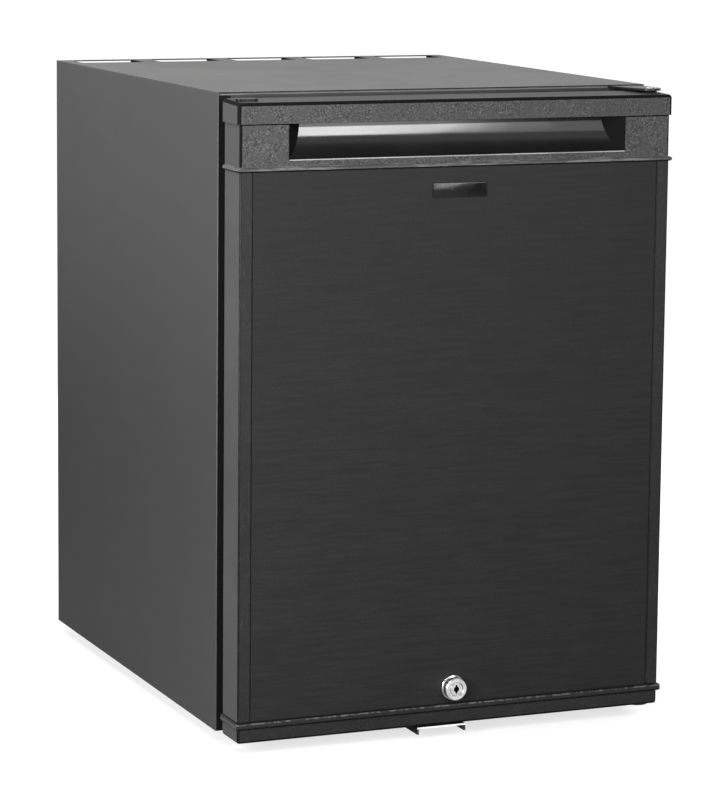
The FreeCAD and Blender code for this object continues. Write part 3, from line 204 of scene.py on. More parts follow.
class FridgeSizes(bpy.types.PropertyGroup):
    """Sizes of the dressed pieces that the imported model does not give."""
    sheet_edge: length("Sheet edge", "Rounding of steel edges", 0.25)
    moulded_edge: length("Moulded edge", "Rounding of plastic edges", 0.45)
    plate_width: length("Plate width", "Width of the blank plate", 50)
    plate_height: length("Plate height", "Height of the blank plate", 12.5)
    plate_thickness: length("Plate thickness", "Thickness of the blank plate", 0.9)
    plate_drop: length("Plate drop", "From the top of the front panel to the plate", 13.5)
    plate_corner: length("Plate corner", "Corner radius of the blank plate", 1.2)
    bezel_step: length("Bezel step", "Thickness of the lock's flange", 1.8)
    bezel_set_in: length("Bezel set-in", "From the flange's edge to the lock's body", 0.8)
    bezel_chamfer: length("Bezel chamfer", "Chamfer round the lock's face", 0.8)
    lip_radius: length("Lip radius", "Rounding of the grip recess's lower lip", 0.5)
    lip_drop: length("Lip drop", "From the cap to the grip recess's lower lip", 30.3)
    lip_reach: length("Lip reach", "From the middle of the door to the end of the grip recess", 155.5)
    slot_width: length("Key slot width", "Width of the key slot", 1.7)
    slot_height: length("Key slot height", "Height of the key slot", 8.0)
    slot_round: length("Key slot round", "Radius of the round opening in the middle of the key slot", 2.5)
    slot_depth: length("Key slot depth", "Depth of the key slot", 5.0)
    cross_width: length("Cross width", "Width of one arm of a screw's cross recess", 0.9)
    cross_length: length("Cross length", "Length of a screw's cross recess", 4.4)
    cross_depth: length("Cross depth", "Depth of a screw's cross recess", 1.4)
    fold_radius: length("Fold radius", "Radius of the rolled fold under the top sheet", 0.7)
    flute_share: share("Flute share", "Radius of a foot in its grip flutes, as a share", 0.94)
    band_width: length("Band width", "Width of the clamp bands round the boiler", 9)
    band_sheet: length("Band sheet", "Thickness of the clamp bands", 0.8)
    weld_radius: length("Weld radius", "Radius of the weld beads on the cooling unit", 1.6)
    lid_sheet: length("Lid sheet", "Thickness of the power module's lid", 1.6)


class FridgeStage(bpy.types.PropertyGroup):
    """Camera and lamps."""
    azimuth: angle("Azimuth", "Turn of the camera round the fridge, from the front", -22.785)
    elevation: angle("Elevation", "Height of the camera above the horizon", 8.299)
    roll: angle("Roll", "Tilt of the picture", 0.58)
    distance: length("Distance", "From the camera to the middle of the fridge", 3049.3)
    side_step: length("Side step", "How far the camera stands to the right of the middle", 14.0)
    rise: length("Rise", "How far the camera aims above the middle", 35.1)
    lens: share("Lens", "Focal length in millimetres", 148.9)
    shift: share("Shift", "Upright shift of the picture", -0.075)
    ambient: share("Ambient", "Strength of the surrounding light", 0.12)
    dark_side: share("Dark side", "Brightness of the studio in front of the fridge, in reflections", 0.10)
    side_power: share("Side lamp", "Power of the lamp close to the left side, in watts", 4.5)
    low_power: share("Low side lamp", "Power of the low lamp at the left, in watts", 12.5)
    strip_power: share("Strip lamp", "Power of the tall lamp in front, in watts", 21.5)
    fill_power: share("Fill lamp", "Power of the wide lamp at the right in front, in watts", 2.0)
    near_power: share("Near lamp", "Power of the small lamp at the left in front, in watts", 6.5)
    right_power: share("Right lamp", "Power of the lamp at the right, in watts", 9.0)
    rear_power: share("Rear lamp", "Power of the low lamp behind, in watts", 6.0)


# Node building

class Nodes:
    """A node tree, with short ways to add nodes to it."""

    def __init__(self, tree):
        self.tree = tree

    def add(self, kind, inputs=None, **settings):
        """Adds a shader node, sets its properties, and fills or links its inputs."""
        made = self.tree.nodes.new("ShaderNode" + kind)
        for name, value in settings.items():
            setattr(made, name, value)
        for name, value in (inputs or {}).items():
            self.feed(made.inputs[name], value)
        return made

    def feed(self, socket, value):
        """Links another node's output to an input, or sets the input to a constant."""
        if isinstance(value, bpy.types.NodeSocket):
            self.tree.links.new(value, socket)
        else:
            socket.default_value = value

    def use(self, name, **values):
        """Outputs of a shared effect that is given its own values."""
        made = self.tree.nodes.new("ShaderNodeGroup")
        made.node_tree = bpy.data.node_groups[name]
        for label, value in values.items():
            made.inputs[label].default_value = value
        return made.outputs

    def maths(self, operation, *values, clamp=False):
        """Result of one sum."""
        return self.add("Math", dict(enumerate(values)), operation=operation, use_clamp=clamp).outputs[0]

    def times(self, first, *others):
        """Product of two or more values."""
        for other in others:
            first = self.maths("MULTIPLY", first, other)
        return first

    def rest(self, part):
        """What a part leaves of 1."""
        return self.maths("SUBTRACT", 1.0, part)

    def spread(self, value, low, high, to_low=0.0, to_high=1.0):
        """Value moved smoothly from one range to another."""
        inputs = {"Value": value, "From Min": low, "From Max": high, "To Min": to_low, "To Max": to_high}
        return self.add("MapRange", inputs, interpolation_type="SMOOTHSTEP").outputs[0]

    def vary(self, mask, at_none, at_full):
        """Value that follows a mask of 0 to 1."""
        return self.spread(mask, 0.0, 1.0, at_none, at_full)

    def near(self, value, middle, inner, outer):
        """Mask that is 1 close to a middle value and fades to 0 at the outer distance."""
        distance = self.maths("ABSOLUTE", self.maths("SUBTRACT", value, middle))
        return self.spread(distance, inner, outer, 1.0, 0.0)

    def either(self, mask, first, second):
        """Value between two values."""
        return self.add("Mix", {0: mask, 2: first, 3: second}).outputs[0]

    def mix(self, mask, first, second):
        """Colour between two colours."""
        return self.add("Mix", {0: mask, 6: first, 7: second}, data_type="RGBA").outputs[2]

    def shade(self, tint, value):
        """Colour made lighter or darker by a factor."""
        grey = self.add("CombineColor", {0: value, 1: value, 2: value}).outputs[0]
        return self.add("Mix", {0: 1.0, 6: tint, 7: grey}, data_type="RGBA", blend_type="MULTIPLY").outputs[2]

    def place(self):
        """Position in the piece's own coordinates."""
        return self.add("TexCoord").outputs["Object"]

    def apart(self, vector):
        """The three parts of a place or a direction."""
        return self.add("SeparateXYZ", {0: vector}).outputs

    def where(self):
        """The three parts of the position in the piece's own coordinates."""
        return self.apart(self.place())

    def facing(self):
        """The three parts of the surface direction in the piece's own coordinates."""
        return self.apart(self.add("TexCoord").outputs["Normal"])

    def ahead(self, low=0.9, high=0.98):
        """Mask of faces that look to the front."""
        return self.spread(self.maths("MULTIPLY", self.facing()["Y"], -1.0), low, high)

    def sideways(self):
        """How far the surface looks to one side."""
        return self.maths("ABSOLUTE", self.facing()["X"])

    def moved(self, operation, first, second):
        """Result of one sum on places or directions."""
        return self.add("VectorMath", {0: first, 1: second}, operation=operation).outputs[0]

    def noise(self, scale, detail, roughness=0.5, at=None):
        """Cloudy noise, in the piece's own coordinates or at a given place."""
        inputs = {"Vector": self.place() if at is None else at, "Scale": scale, "Detail": detail,
                  "Roughness": roughness}
        return self.add("TexNoise", inputs).outputs[0]

    def cells(self, scale):
        """Outputs of a cell pattern in the piece's own coordinates."""
        return self.add("TexVoronoi", {"Vector": self.place(), "Scale": scale}).outputs


# Effects that several finishes share: each takes its inputs and returns its named outputs

def fine_skin(n, given):
    """Even fine bumps of sprayed paint or moulded plastic."""
    return {"Height": n.maths("MULTIPLY_ADD", n.noise(given["Grain"], 2.0), 0.7, n.noise(given["Ripple"], 1.0))}


def leather_grain(n, given):
    """Pebbled grain of black mouldings, with light speckles on its crests and dark pits."""
    warp = n.add("TexNoise", {"Vector": n.place(), "Scale": given["Pebbles"], "Detail": 1.0}).outputs["Color"]
    push = n.add("VectorMath", {0: warp, "Scale": 0.0012}, operation="SCALE").outputs[0]
    inputs = {"Vector": n.moved("ADD", n.place(), push), "Scale": given["Pebbles"], "Randomness": 0.95}
    cells = n.add("TexVoronoi", inputs).outputs[0]
    grit = n.noise(given["Grit"], 4.0, 0.7)
    strong = n.spread(n.noise(given["Patches"], 3.0), 0.40, 0.60, 0.35, 1.0)
    return {"Height": n.spread(cells, 0.1, 0.75, 1.0, 0.0),
            "Speckle": n.times(n.spread(grit, 0.50, 0.68), strong),
            "Pits": n.times(n.spread(grit, 0.49, 0.38), strong)}


def handling(n, given):
    """Slow uneven patches that years of wiping leave in a gloss."""
    return {"Mask": n.spread(n.noise(given["Size"], 5.0, 0.62), 0.35, 0.65)}


def hairline(n, given):
    """Fine streaks across the fridge, as a rolled or brushed sheet has."""
    scale = n.add("CombineXYZ", {"X": given["Across"], "Y": given["Upright"], "Z": given["Upright"]}).outputs[0]
    return {"Streak": n.noise(1.0, 3.0, 0.6, n.moved("MULTIPLY", n.place(), scale))}


def edge_wear_and_highlight(n, given):
    """Mask of outer edges, where paint is worn thin; the lightened edges also stand in as painted highlight."""
    rounded = n.add("Bevel", {"Radius": given["Radius"]}, samples=4).outputs[0]
    flat = n.add("NewGeometry").outputs["Normal"]
    match = n.add("VectorMath", {0: rounded, 1: flat}, operation="DOT_PRODUCT").outputs["Value"]
    chips = n.spread(n.noise(420.0, 3.0), 0.4, 0.6, 0.3, 1.0)
    return {"Mask": n.times(n.spread(match, 0.999, 0.93), chips, given["Amount"])}


def flat_faces(n, given):
    """Mask that is 1 on flat faces square to the fridge and 0 on rounded edges."""
    sizes = [n.maths("ABSOLUTE", part) for part in n.facing()]
    largest = n.maths("MAXIMUM", n.maths("MAXIMUM", sizes[0], sizes[1]), sizes[2])
    return {"Mask": n.maths("MULTIPLY", n.maths("SUBTRACT", largest, given["Squareness"]), 120.0, clamp=True)}


def dust(n, given):
    """Mask of thin dust that settles on faces that look up."""
    cloud = n.spread(n.noise(30.0, 6.0, 0.7), 0.3, 0.7, 0.3, 1.0)
    return {"Mask": n.times(n.spread(n.facing()["Z"], 0.6, 1.0), cloud, given["Amount"])}


EFFECTS = {
    "Fine Skin": (fine_skin, {"Grain": 1400.0, "Ripple": 160.0}),
    "Leather Grain": (leather_grain, {"Pebbles": 900.0, "Grit": 700.0, "Patches": 60.0}),
    "Handling": (handling, {"Size": 9.0}),
    "Hairline": (hairline, {"Across": 26.0, "Upright": 1500.0}),
    "Edge Wear And Highlight": (edge_wear_and_highlight, {"Radius": 0.0008, "Amount": 1.0}),
    "Flat Faces": (flat_faces, {"Squareness": 0.985}),
    "Dust": (dust, {"Amount": 0.3}),
}


def make_effect(name, build, inputs):
    """Makes the shader group of one shared effect."""
    tree = bpy.data.node_groups.new(name, "ShaderNodeTree")
    for label, default in inputs.items():
        socket = tree.interface.new_socket(label, in_out="INPUT", socket_type="NodeSocketFloat")
        socket.default_value = default
    nodes = Nodes(tree)
    results = build(nodes, tree.nodes.new("NodeGroupInput").outputs)
    for label in results:
        tree.interface.new_socket(label, in_out="OUTPUT", socket_type="NodeSocketFloat")
    end = tree.nodes.new("NodeGroupOutput").inputs
    for label, value in results.items():
        nodes.feed(end[label], value)


# Finishes: each fills the material that has its name

class Finish(Nodes):
    """A material in the making."""

    def __init__(self, name):
        material = bpy.data.materials.new(name)
        material.use_nodes = True
        super().__init__(material.node_tree)
        self.shader = self.tree.nodes["Principled BSDF"]

    def handled(self, size):
        """Mask of wiped patches."""
        return self.use("Handling", Size=size)["Mask"]

    def skin(self, grain, ripple):
        """Height of an even fine skin."""
        return self.use("Fine Skin", Grain=grain, Ripple=ripple)["Height"]

    def worn_and_highlit_edges(self, radius, amount):
        """Mask of worn edges, which also carry painted highlight."""
        return self.use("Edge Wear And Highlight", Radius=radius, Amount=amount)["Mask"]

    def streaks(self, across, upright):
        """Level streaks."""
        return self.use("Hairline", Across=across, Upright=upright)["Streak"]

    def pebbles(self, size, patches):
        """Outputs of the pebbled grain."""
        return self.use("Leather Grain", Pebbles=size, Patches=patches)

    def done(self, tint, roughness, height, strength, depth, **others):
        """Gives the shader its colour, its roughness, a surface disturbed by a height, and other inputs."""
        bump = self.add("Bump", {"Height": height, "Strength": strength, "Distance": depth}).outputs[0]
        for name, value in {"Base Color": tint, "Roughness": roughness, "Normal": bump, **others}.items():
            self.feed(self.shader.inputs[name.replace("_", " ")], value)

    def plain(self, tint, size, shades, gloss, skin, strength, depth, **others):
        """Whole finish: an even skin whose colour and roughness drift with handling."""
        mask = self.handled(size)
        self.done(self.shade(tint, self.vary(mask, *shades)), self.vary(mask, *gloss), self.skin(*skin), strength,
                  depth, **others)


def powder_coat(n, colours):
    """Satin black powder coat: orange peel, wiped patches, worn edges that are also lightened as painted highlight,
    a little dust, and front faces painted near black as shade in the gap behind the door.
    """
    wiped = n.handled(7.0)
    tint = n.shade(colours.powder, n.vary(wiped, 0.97, 1.03))
    # Edges lightened: wear and painted highlight
    tint = n.mix(n.worn_and_highlit_edges(0.0009, 0.5), tint, COAT_WEAR_AND_HIGHLIGHT)
    tint = n.mix(n.use("Dust", Amount=0.07)["Mask"], tint, COAT_DUST)
    # Faces that look to the front get the near-black tint and little sheen: painted shade for the gap between
    # cabinet and door
    ahead = n.ahead()
    tint = n.mix(ahead, tint, colours.blackened_and_gap_shade)
    n.done(tint, n.vary(wiped, 0.44, 0.47), n.skin(1300.0, 240.0), 0.14, 0.0002,
           Specular_IOR_Level=n.vary(ahead, 0.5, 0.1))


def grained_plastic(n, colours):
    """Black moulded plastic: pebbled front, smooth dark edges, glossy grip recess whose sheen is dimmed under the
    cap as painted shade, bead painted light as highlight, and a dark line painted under the cap as shadow.
    """
    grain = n.pebbles(950.0, 70.0)
    wiped = n.handled(14.0)
    where = n.where()
    low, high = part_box("handle_moulding")
    outside = n.spread(where["Y"], cad_low.y + 9.5 * MM, cad_low.y + 8.5 * MM)
    pebbled = n.times(n.ahead(0.97, 0.99), outside)
    # Dark line under the cap's overhang, with its sheen taken away: painted shadow
    seam_shadow = n.times(pebbled, n.near(where["Z"], high.z - 0.4 * MM, 0.45 * MM, 0.65 * MM))
    bead = n.near(where["Z"], low.z + 2.8 * MM, 1.5 * MM, 1.8 * MM)
    inward = n.spread(n.maths("ABSOLUTE", where["X"]), cad_high.x - 20 * MM, cad_high.x - 15 * MM, 1.0, 0.0)
    recess = n.times(inward, n.spread(where["Z"], high.z, high.z + MM, 1.0, 0.0),
                     n.spread(where["Z"], low.z + 4.3 * MM, low.z + 4.6 * MM))
    flat = n.times(n.use("Flat Faces")["Mask"], n.rest(n.times(recess, n.rest(outside))))
    grip = n.times(recess, n.spread(n.sideways(), 0.2, 0.35, 1.0, 0.0))
    tint = n.mix(flat, n.mix(grip, colours.polished, colours.panel), colours.grained)
    # The bead takes the lighter grained tint instead of the dark edge tint: painted highlight
    tint = n.shade(n.mix(bead, tint, colours.grained), n.vary(wiped, 0.93, 1.07))
    tint = n.mix(n.times(grain["Speckle"], pebbled, 0.8), tint, colours.crest_and_highlight)
    tint = n.mix(n.times(grain["Pits"], pebbled, 0.8), tint, colours.polished)
    # Light dashes along the bead: painted highlight
    bead_highlight = n.times(bead, n.spread(n.streaks(45.0, 350.0), 0.44, 0.62, 0.15, 1.0))
    tint = n.mix(seam_shadow, n.mix(bead_highlight, tint, colours.crest_and_highlight), colours.polished)
    roughness = n.maths("MULTIPLY_ADD", wiped, 0.05, n.either(flat, n.vary(grip, 0.85, 0.12), 0.52))
    # Sheen of the grip recess dimmed along its top: painted shade under the cap
    grip_sheen_shaded_top = n.times(grip, n.spread(where["Z"], high.z - 5.4 * MM, high.z - 3.8 * MM, 1.0, 0.25))
    sheen = n.times(n.either(flat, n.vary(grip_sheen_shaded_top, 0.10, 0.95), 0.22), n.rest(seam_shadow))
    n.done(tint, roughness, n.times(grain["Height"], pebbled), 0.35, 0.00025, Specular_IOR_Level=sheen)


def profile_plastic(n, colours):
    """Extruded black plastic of the side profiles and the bottom cap: dark edges, side faces lighter than front
    faces as painted light and shade, and light dashes painted along the bottom cap's bead as highlight.
    """
    grain = n.pebbles(1250.0, 90.0)
    flat = n.use("Flat Faces")["Mask"]
    wiped = n.handled(10.0)
    where = n.where()
    # Side faces take the lighter grained tint, front faces the darker profile tint: painted light and shade by
    # facing
    face = n.mix(n.spread(n.sideways(), 0.9, 0.98), colours.profile, colours.grained)
    tint = n.shade(n.mix(flat, colours.polished, face), n.vary(wiped, 0.92, 1.08))
    tint = n.mix(n.times(grain["Speckle"], 0.10), tint, FLECK)
    # Light dashes along the top of the bottom cap: painted highlight
    crown = n.times(n.near(where["Z"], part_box("bottom_cap")[1].z - 1.6 * MM, 0.5 * MM, 0.8 * MM),
                    n.spread(where["Y"], cad_low.y + 7.6 * MM, cad_low.y + 7.4 * MM))
    crown_highlight_dashes = n.spread(n.noise(230.0, 2.0), 0.45, 0.58, 0.05, 0.55)
    tint = n.mix(n.times(crown, crown_highlight_dashes), tint, colours.crest_and_highlight)
    roughness = n.maths("MULTIPLY_ADD", wiped, 0.06, n.vary(flat, 0.26, 0.45))
    n.done(tint, roughness, grain["Height"], 0.16, 0.0002, Specular_IOR_Level=n.vary(flat, 0.12, 0.27))


def panel_coat(n, colours):
    """Matt black laminate of the front panel, with faint level streaks."""
    streak = n.streaks(22.0, 480.0)
    tint = n.shade(colours.panel, n.spread(streak, 0.3, 0.7, 0.82, 1.18))
    tint = n.mix(n.times(n.pebbles(1500.0, 40.0)["Speckle"], 0.05), tint, FLECK)
    roughness = n.maths("MULTIPLY_ADD", n.handled(5.0), 0.05, n.spread(streak, 0.3, 0.7, 0.50, 0.58))
    n.done(tint, roughness, streak, 0.10, 0.0002, Specular_IOR_Level=0.24)


def liner_plastic(n, colours):
    """White vacuum-formed liner with a soft gloss."""
    n.plain(colours.liner, 6.0, (0.985, 1.0), (0.30, 0.34), (700.0, 90.0), 0.10, 0.0002)


def raw_foam(n, colours):
    """Cut insulation foam with its small cells."""
    cells = n.cells(900.0)[0]
    tint = n.shade(colours.foam, n.vary(n.handled(40.0), 0.85, 1.05))
    n.done(tint, n.vary(cells, 0.85, 0.95), cells, 0.6, 0.0006)


def gasket_rubber(n, colours):
    """Black soft rubber with a bloom along its folds."""
    n.plain(colours.rubber, 30.0, (0.85, 1.25), (0.55, 0.70), (900.0, 60.0), 0.15, 0.0002)


def polished_chrome(n, colours):
    """Turned chrome of the lock with rings left by the lathe and a haze of fine scratches, and painted shade inside
    the key slot.
    """
    low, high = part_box("lock_barrel")
    parts = n.apart(n.moved("SUBTRACT", n.place(), tuple((low + high) / 2)))
    square = n.maths("ADD", n.maths("POWER", parts["X"], 2.0), n.maths("POWER", parts["Z"], 2.0))
    radius = n.maths("SQRT", square)
    haze = n.handled(260.0)
    depth = n.maths("SUBTRACT", n.where()["Y"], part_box("lock_cylinder")[0].y)
    # The inside of the key slot is painted dark: painted shade
    inside = n.times(n.spread(depth, 0.4 * MM, 2.4 * MM), n.spread(radius, 4.6 * MM, 4.2 * MM))
    tint = n.mix(inside, n.shade(colours.chrome, n.vary(haze, 0.86, 1.0)), colours.keyway_shade)
    faced = n.times(n.ahead(), n.spread(depth, 0.4 * MM, 0.6 * MM, 1.0, 0.0))
    roughness = n.maths("MULTIPLY_ADD", haze, 0.08, n.vary(faced, 0.16, 0.50))
    n.done(tint, roughness, n.maths("SINE", n.times(radius, 9000.0)), 0.12, 0.00003, Metallic=1.0)


def keeper_coat(n, colours):
    """Black coat of the keeper, with a painted highlight along the front edge of its web."""
    low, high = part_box("keeper_bracket")
    scuff = n.handled(60.0)
    where = n.where()
    # Front edge of the web painted near white: painted highlight
    web_edge_highlight = n.times(n.spread(where["Y"], low.y + 0.3 * MM, low.y + 0.1 * MM),
                   n.spread(where["Z"], high.z - 1.7 * MM, high.z - 1.5 * MM))
    tint = n.shade(colours.powder, n.vary(scuff, 0.5, 0.9))
    # Edges lightened: wear and painted highlight
    tint = n.mix(web_edge_highlight, n.mix(n.worn_and_highlit_edges(0.0008, 0.8), tint, KEEPER_WEAR_AND_HIGHLIGHT), colours.web_edge_highlight)
    n.done(tint, n.vary(scuff, 0.38, 0.5), n.skin(1300.0, 300.0), 0.15, 0.0002)


def zinc_plate(n, colours):
    """Zinc plated steel with a cloudy, faintly streaked sheen."""
    flake = n.add("SeparateColor", {0: n.cells(140.0)["Color"]}).outputs[0]
    cloud = n.handled(22.0)
    tint = n.shade(colours.zinc, n.maths("MULTIPLY_ADD", cloud, 0.10, n.vary(flake, 0.84, 0.98)))
    roughness = n.maths("MULTIPLY_ADD", cloud, 0.08, n.vary(flake, 0.34, 0.46))
    n.done(tint, roughness, n.streaks(60.0, 900.0), 0.08, 0.0001, Metallic=1.0)


def cast_metal(n, colours):
    """Sand-cast aluminium of the evaporator."""
    n.plain(colours.aluminium, 45.0, (0.88, 1.02), (0.42, 0.56), (1100.0, 420.0), 0.4, 0.0003, Metallic=1.0)


def frosted_lens(n, colours):
    """Frosted lens with fine prisms."""
    prisms = n.add("TexWave", {"Vector": n.place(), "Scale": 130.0}, bands_direction="X").outputs[0]
    cloud = n.handled(60.0)
    n.done(n.shade(colours.lens, n.vary(cloud, 0.96, 1.0)), n.vary(cloud, 0.28, 0.40), prisms, 0.3, 0.0003,
           Transmission_Weight=0.55)


def coated_wire(n, colours):
    """White plastic coat on the shelf wires, slightly uneven from dipping."""
    drips = n.noise(260.0, 2.0)
    n.done(n.shade(colours.wire, n.spread(drips, 0.3, 0.7, 0.95, 1.02)), n.spread(drips, 0.3, 0.7, 0.24, 0.34),
           drips, 0.15, 0.0003)


def moulded_nylon(n, colours):
    """Matt black nylon of feet, bushes and power module."""
    scuff = n.handled(50.0)
    # Edges lightened: wear and painted highlight
    tint = n.mix(n.worn_and_highlit_edges(0.0006, 0.35), n.shade(colours.nylon, n.vary(scuff, 0.85, 1.2)), NYLON_WEAR_AND_HIGHLIGHT)
    n.done(tint, n.vary(scuff, 0.42, 0.56), n.pebbles(1500.0, 120.0)["Height"], 0.2, 0.00015)


def unit_paint(n, colours):
    """Thin black paint on the tubes of the cooling unit, worn and lightened as painted highlight at its edges, and
    dusty on top.
    """
    cloud = n.handled(28.0)
    # Edges lightened: wear and painted highlight
    tint = n.mix(n.worn_and_highlit_edges(0.0010, 0.6), n.shade(colours.unit, n.vary(cloud, 0.85, 1.25)), TUBE_WEAR_AND_HIGHLIGHT)
    tint = n.mix(n.use("Dust", Amount=0.30)["Mask"], tint, TUBE_DUST)
    n.done(tint, n.vary(cloud, 0.36, 0.55), n.skin(800.0, 120.0), 0.25, 0.0003)


def magnet_strip(n, colours):
    """Dull ferrite rubber of the magnet strips."""
    n.plain(colours.magnet, 80.0, (0.85, 1.15), (0.60, 0.75), (1200.0, 300.0), 0.2, 0.0002)


def rolled_fold(n, colours):
    """Fold under the top sheet, its coat painted bright along its length as highlight."""
    streak = n.streaks(40.0, 900.0)
    # Light tint along the fold: painted highlight
    tint = n.shade(colours.crest_and_highlight, n.spread(streak, 0.3, 0.7, 0.8, 1.2))
    n.done(tint, n.vary(n.handled(9.0), 0.26, 0.34), streak, 0.1, 0.0001)


def lip_highlight_coat(n, colours):
    """Smooth lower edge of the grip recess, painted bright as highlight."""
    n.plain(colours.lip, 24.0, (0.75, 1.1), (0.20, 0.28), (1200.0, 200.0), 0.05, 0.0001)


def blackened_steel_and_gap_shade(n, colours):
    """Blackened steel of the front frame, hinge plates and screws, worn through to the zinc along its edges, which
    also serves as painted highlight; on the front frame its near-black stands in as painted shade in the gap behind
    the door.
    """
    cloud = n.handled(120.0)
    tint = n.shade(colours.blackened_and_gap_shade, n.vary(cloud, 0.9, 1.1))
    # Edges lightened towards zinc: wear and painted highlight
    tint = n.mix(n.times(n.worn_and_highlit_edges(0.0004, 0.9), 0.5), tint, colours.zinc)
    n.done(tint, n.vary(cloud, 0.36, 0.40), n.skin(1800.0, 500.0), 0.12, 0.0001)


def gloss_plate(n, colours):
    """Glossy black enamel of the blank plate."""
    n.plain(colours.plate, 60.0, (0.9, 1.1), (0.26, 0.34), (500.0, 60.0), 0.05, 0.0001)


FINISHES = (powder_coat, grained_plastic, profile_plastic, panel_coat, liner_plastic, raw_foam, gasket_rubber,
            polished_chrome, keeper_coat, zinc_plate, cast_metal, frosted_lens, coated_wire, moulded_nylon,
            unit_paint, magnet_strip, rolled_fold, lip_highlight_coat, blackened_steel_and_gap_shade, gloss_plate)


# Mesh building

def keep_piece(name, work, material, body, replaced=()):
    """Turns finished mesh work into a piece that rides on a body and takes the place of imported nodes."""
    bmesh.ops.remove_doubles(work, verts=work.verts, dist=0.01 * MM)
    bmesh.ops.recalc_face_normals(work, faces=work.faces)
    mesh = bpy.data.meshes.new(name)
    work.to_mesh(mesh)
    work.free()
    for face in mesh.polygons:
        face.use_smooth = True
    mesh.set_sharp_from_angle(angle=SHARP_ANGLE)
    mesh.materials.append(bpy.data.materials[material])
    piece = bpy.data.objects.new(name, mesh)
    bpy.context.scene.collection.objects.link(piece)
    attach(piece, body)
    if replaced:
        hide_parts(*replaced)


def soften(node, edge):
    """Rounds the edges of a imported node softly."""
    for face in node.data.polygons:
        face.use_smooth = True
    weld = node.modifiers.new("merged corners", "WELD")
    weld.merge_threshold = 0.005 * MM
    bevel = node.modifiers.new("soft edges", "BEVEL")
    bevel.width = edge
    bevel.segments = 2
    bevel.limit_method = "ANGLE"
    bevel.angle_limit = BEVEL_ANGLE
    bevel.use_clamp_overlap = True
    normals = node.modifiers.new("even shading", "WEIGHTED_NORMAL")
    normals.keep_sharp = True


def dress(material, edge, *names):
    """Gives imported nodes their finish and, unless the edge width is 0, soft edges."""
    for name in names:
        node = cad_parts[name]
        node.material_slots[0].material = bpy.data.materials[material]
        if edge:
            soften(node, edge)


def in_metres(points):
    """Points that are given in millimetres."""
    return [(first * MM, second * MM) for first, second in points]


def added(work, other):
    """Joins other mesh work into the first."""
    carrier = bpy.data.meshes.new("carrier")
    other.to_mesh(carrier)
    other.free()
    work.from_mesh(carrier)
    bpy.data.meshes.remove(carrier)
    return work


def spun(work, points, axis, steps):
    """Spins a line of points a whole turn round an axis."""
    corners = [work.verts.new(point) for point in points]
    edges = [work.edges.new(pair) for pair in zip(corners, corners[1:])]
    bmesh.ops.spin(work, geom=corners + edges, cent=(0, 0, 0), axis=axis, angle=math.tau, steps=steps,
                   use_merge=True)
    bmesh.ops.remove_doubles(work, verts=work.verts, dist=0.001 * MM)


def turned(points, steps, matrix):
    """Round form with a profile of (radius, height) points."""
    work = bmesh.new()
    spun(work, [(radius, 0.0, height) for radius, height in points], (0, 0, 1), steps)
    bmesh.ops.transform(work, matrix=matrix, verts=work.verts)
    return work


def square_ring(profile, half_width, height, middle_z):
    """Runs a closed profile of (inset, depth) points round an upright rectangle with mitred corners."""
    work = bmesh.new()
    points = [(half_width - inset, depth, half_width - inset) for inset, depth in profile]
    spun(work, points + points[:1], (0, 1, 0), 4)
    rise = height / 2 - half_width
    for way in (-1, 1):
        part = [vert for vert in work.verts if vert.co.z * way > 0]
        bmesh.ops.translate(work, vec=(0, 0, rise * way), verts=part)
    bmesh.ops.translate(work, vec=(0, 0, middle_z), verts=work.verts)
    return work


def bead_ring(radius, bead, matrix):
    """Round bead, such as a weld, about a tube."""
    turns = [math.tau * step / 8 for step in range(9)]
    return turned([(radius + bead * math.cos(turn), bead * math.sin(turn)) for turn in turns], 32, matrix)


def rod(middle, radius, reach):
    """Round rod that runs across the fridge."""
    work = bmesh.new()
    bmesh.ops.create_cone(work, cap_ends=True, segments=16, radius1=radius, radius2=radius, depth=reach,
                          matrix=Matrix.Translation(middle) @ RIGHT)
    return work


def block(low, high):
    """Plain block between two corners."""
    work = bmesh.new()
    bmesh.ops.create_cube(work, size=1.0)
    bmesh.ops.scale(work, vec=high - low, verts=work.verts)
    bmesh.ops.translate(work, vec=(low + high) / 2, verts=work.verts)
    return work


def slab(low, high, corner, axis, soft):
    """Block between two corners, with its edges along one axis rounded and the rest softened."""
    work = block(low, high)
    reach = (high - low)[axis] / 2
    along = [edge for edge in work.edges if abs(edge.verts[0].co[axis] - edge.verts[1].co[axis]) > reach]
    bmesh.ops.bevel(work, geom=along, offset=corner, affect="EDGES", segments=5, profile=0.5, material=-1)
    flat = [edge for edge in work.edges if abs(edge.verts[0].co[axis] - edge.verts[1].co[axis]) < reach]
    bmesh.ops.bevel(work, geom=flat, offset=soft, affect="EDGES", segments=2, profile=0.5, material=-1)
    return work


def drawn(work, edges, rings):
    """Draws a loop of edges through rings of (radius, height) and closes the last one."""
    for before, after in zip(rings, rings[1:]):
        made = bmesh.ops.extrude_edge_only(work, edges=edges)["geom"]
        verts = [item for item in made if isinstance(item, bmesh.types.BMVert)]
        edges = [item for item in made if isinstance(item, bmesh.types.BMEdge)]
        grow = after[0] / before[0]
        bmesh.ops.scale(work, vec=(grow, grow, 1.0), verts=verts)
        bmesh.ops.translate(work, vec=(0, 0, after[1] - before[1]), verts=verts)
    bmesh.ops.contextual_create(work, geom=edges)


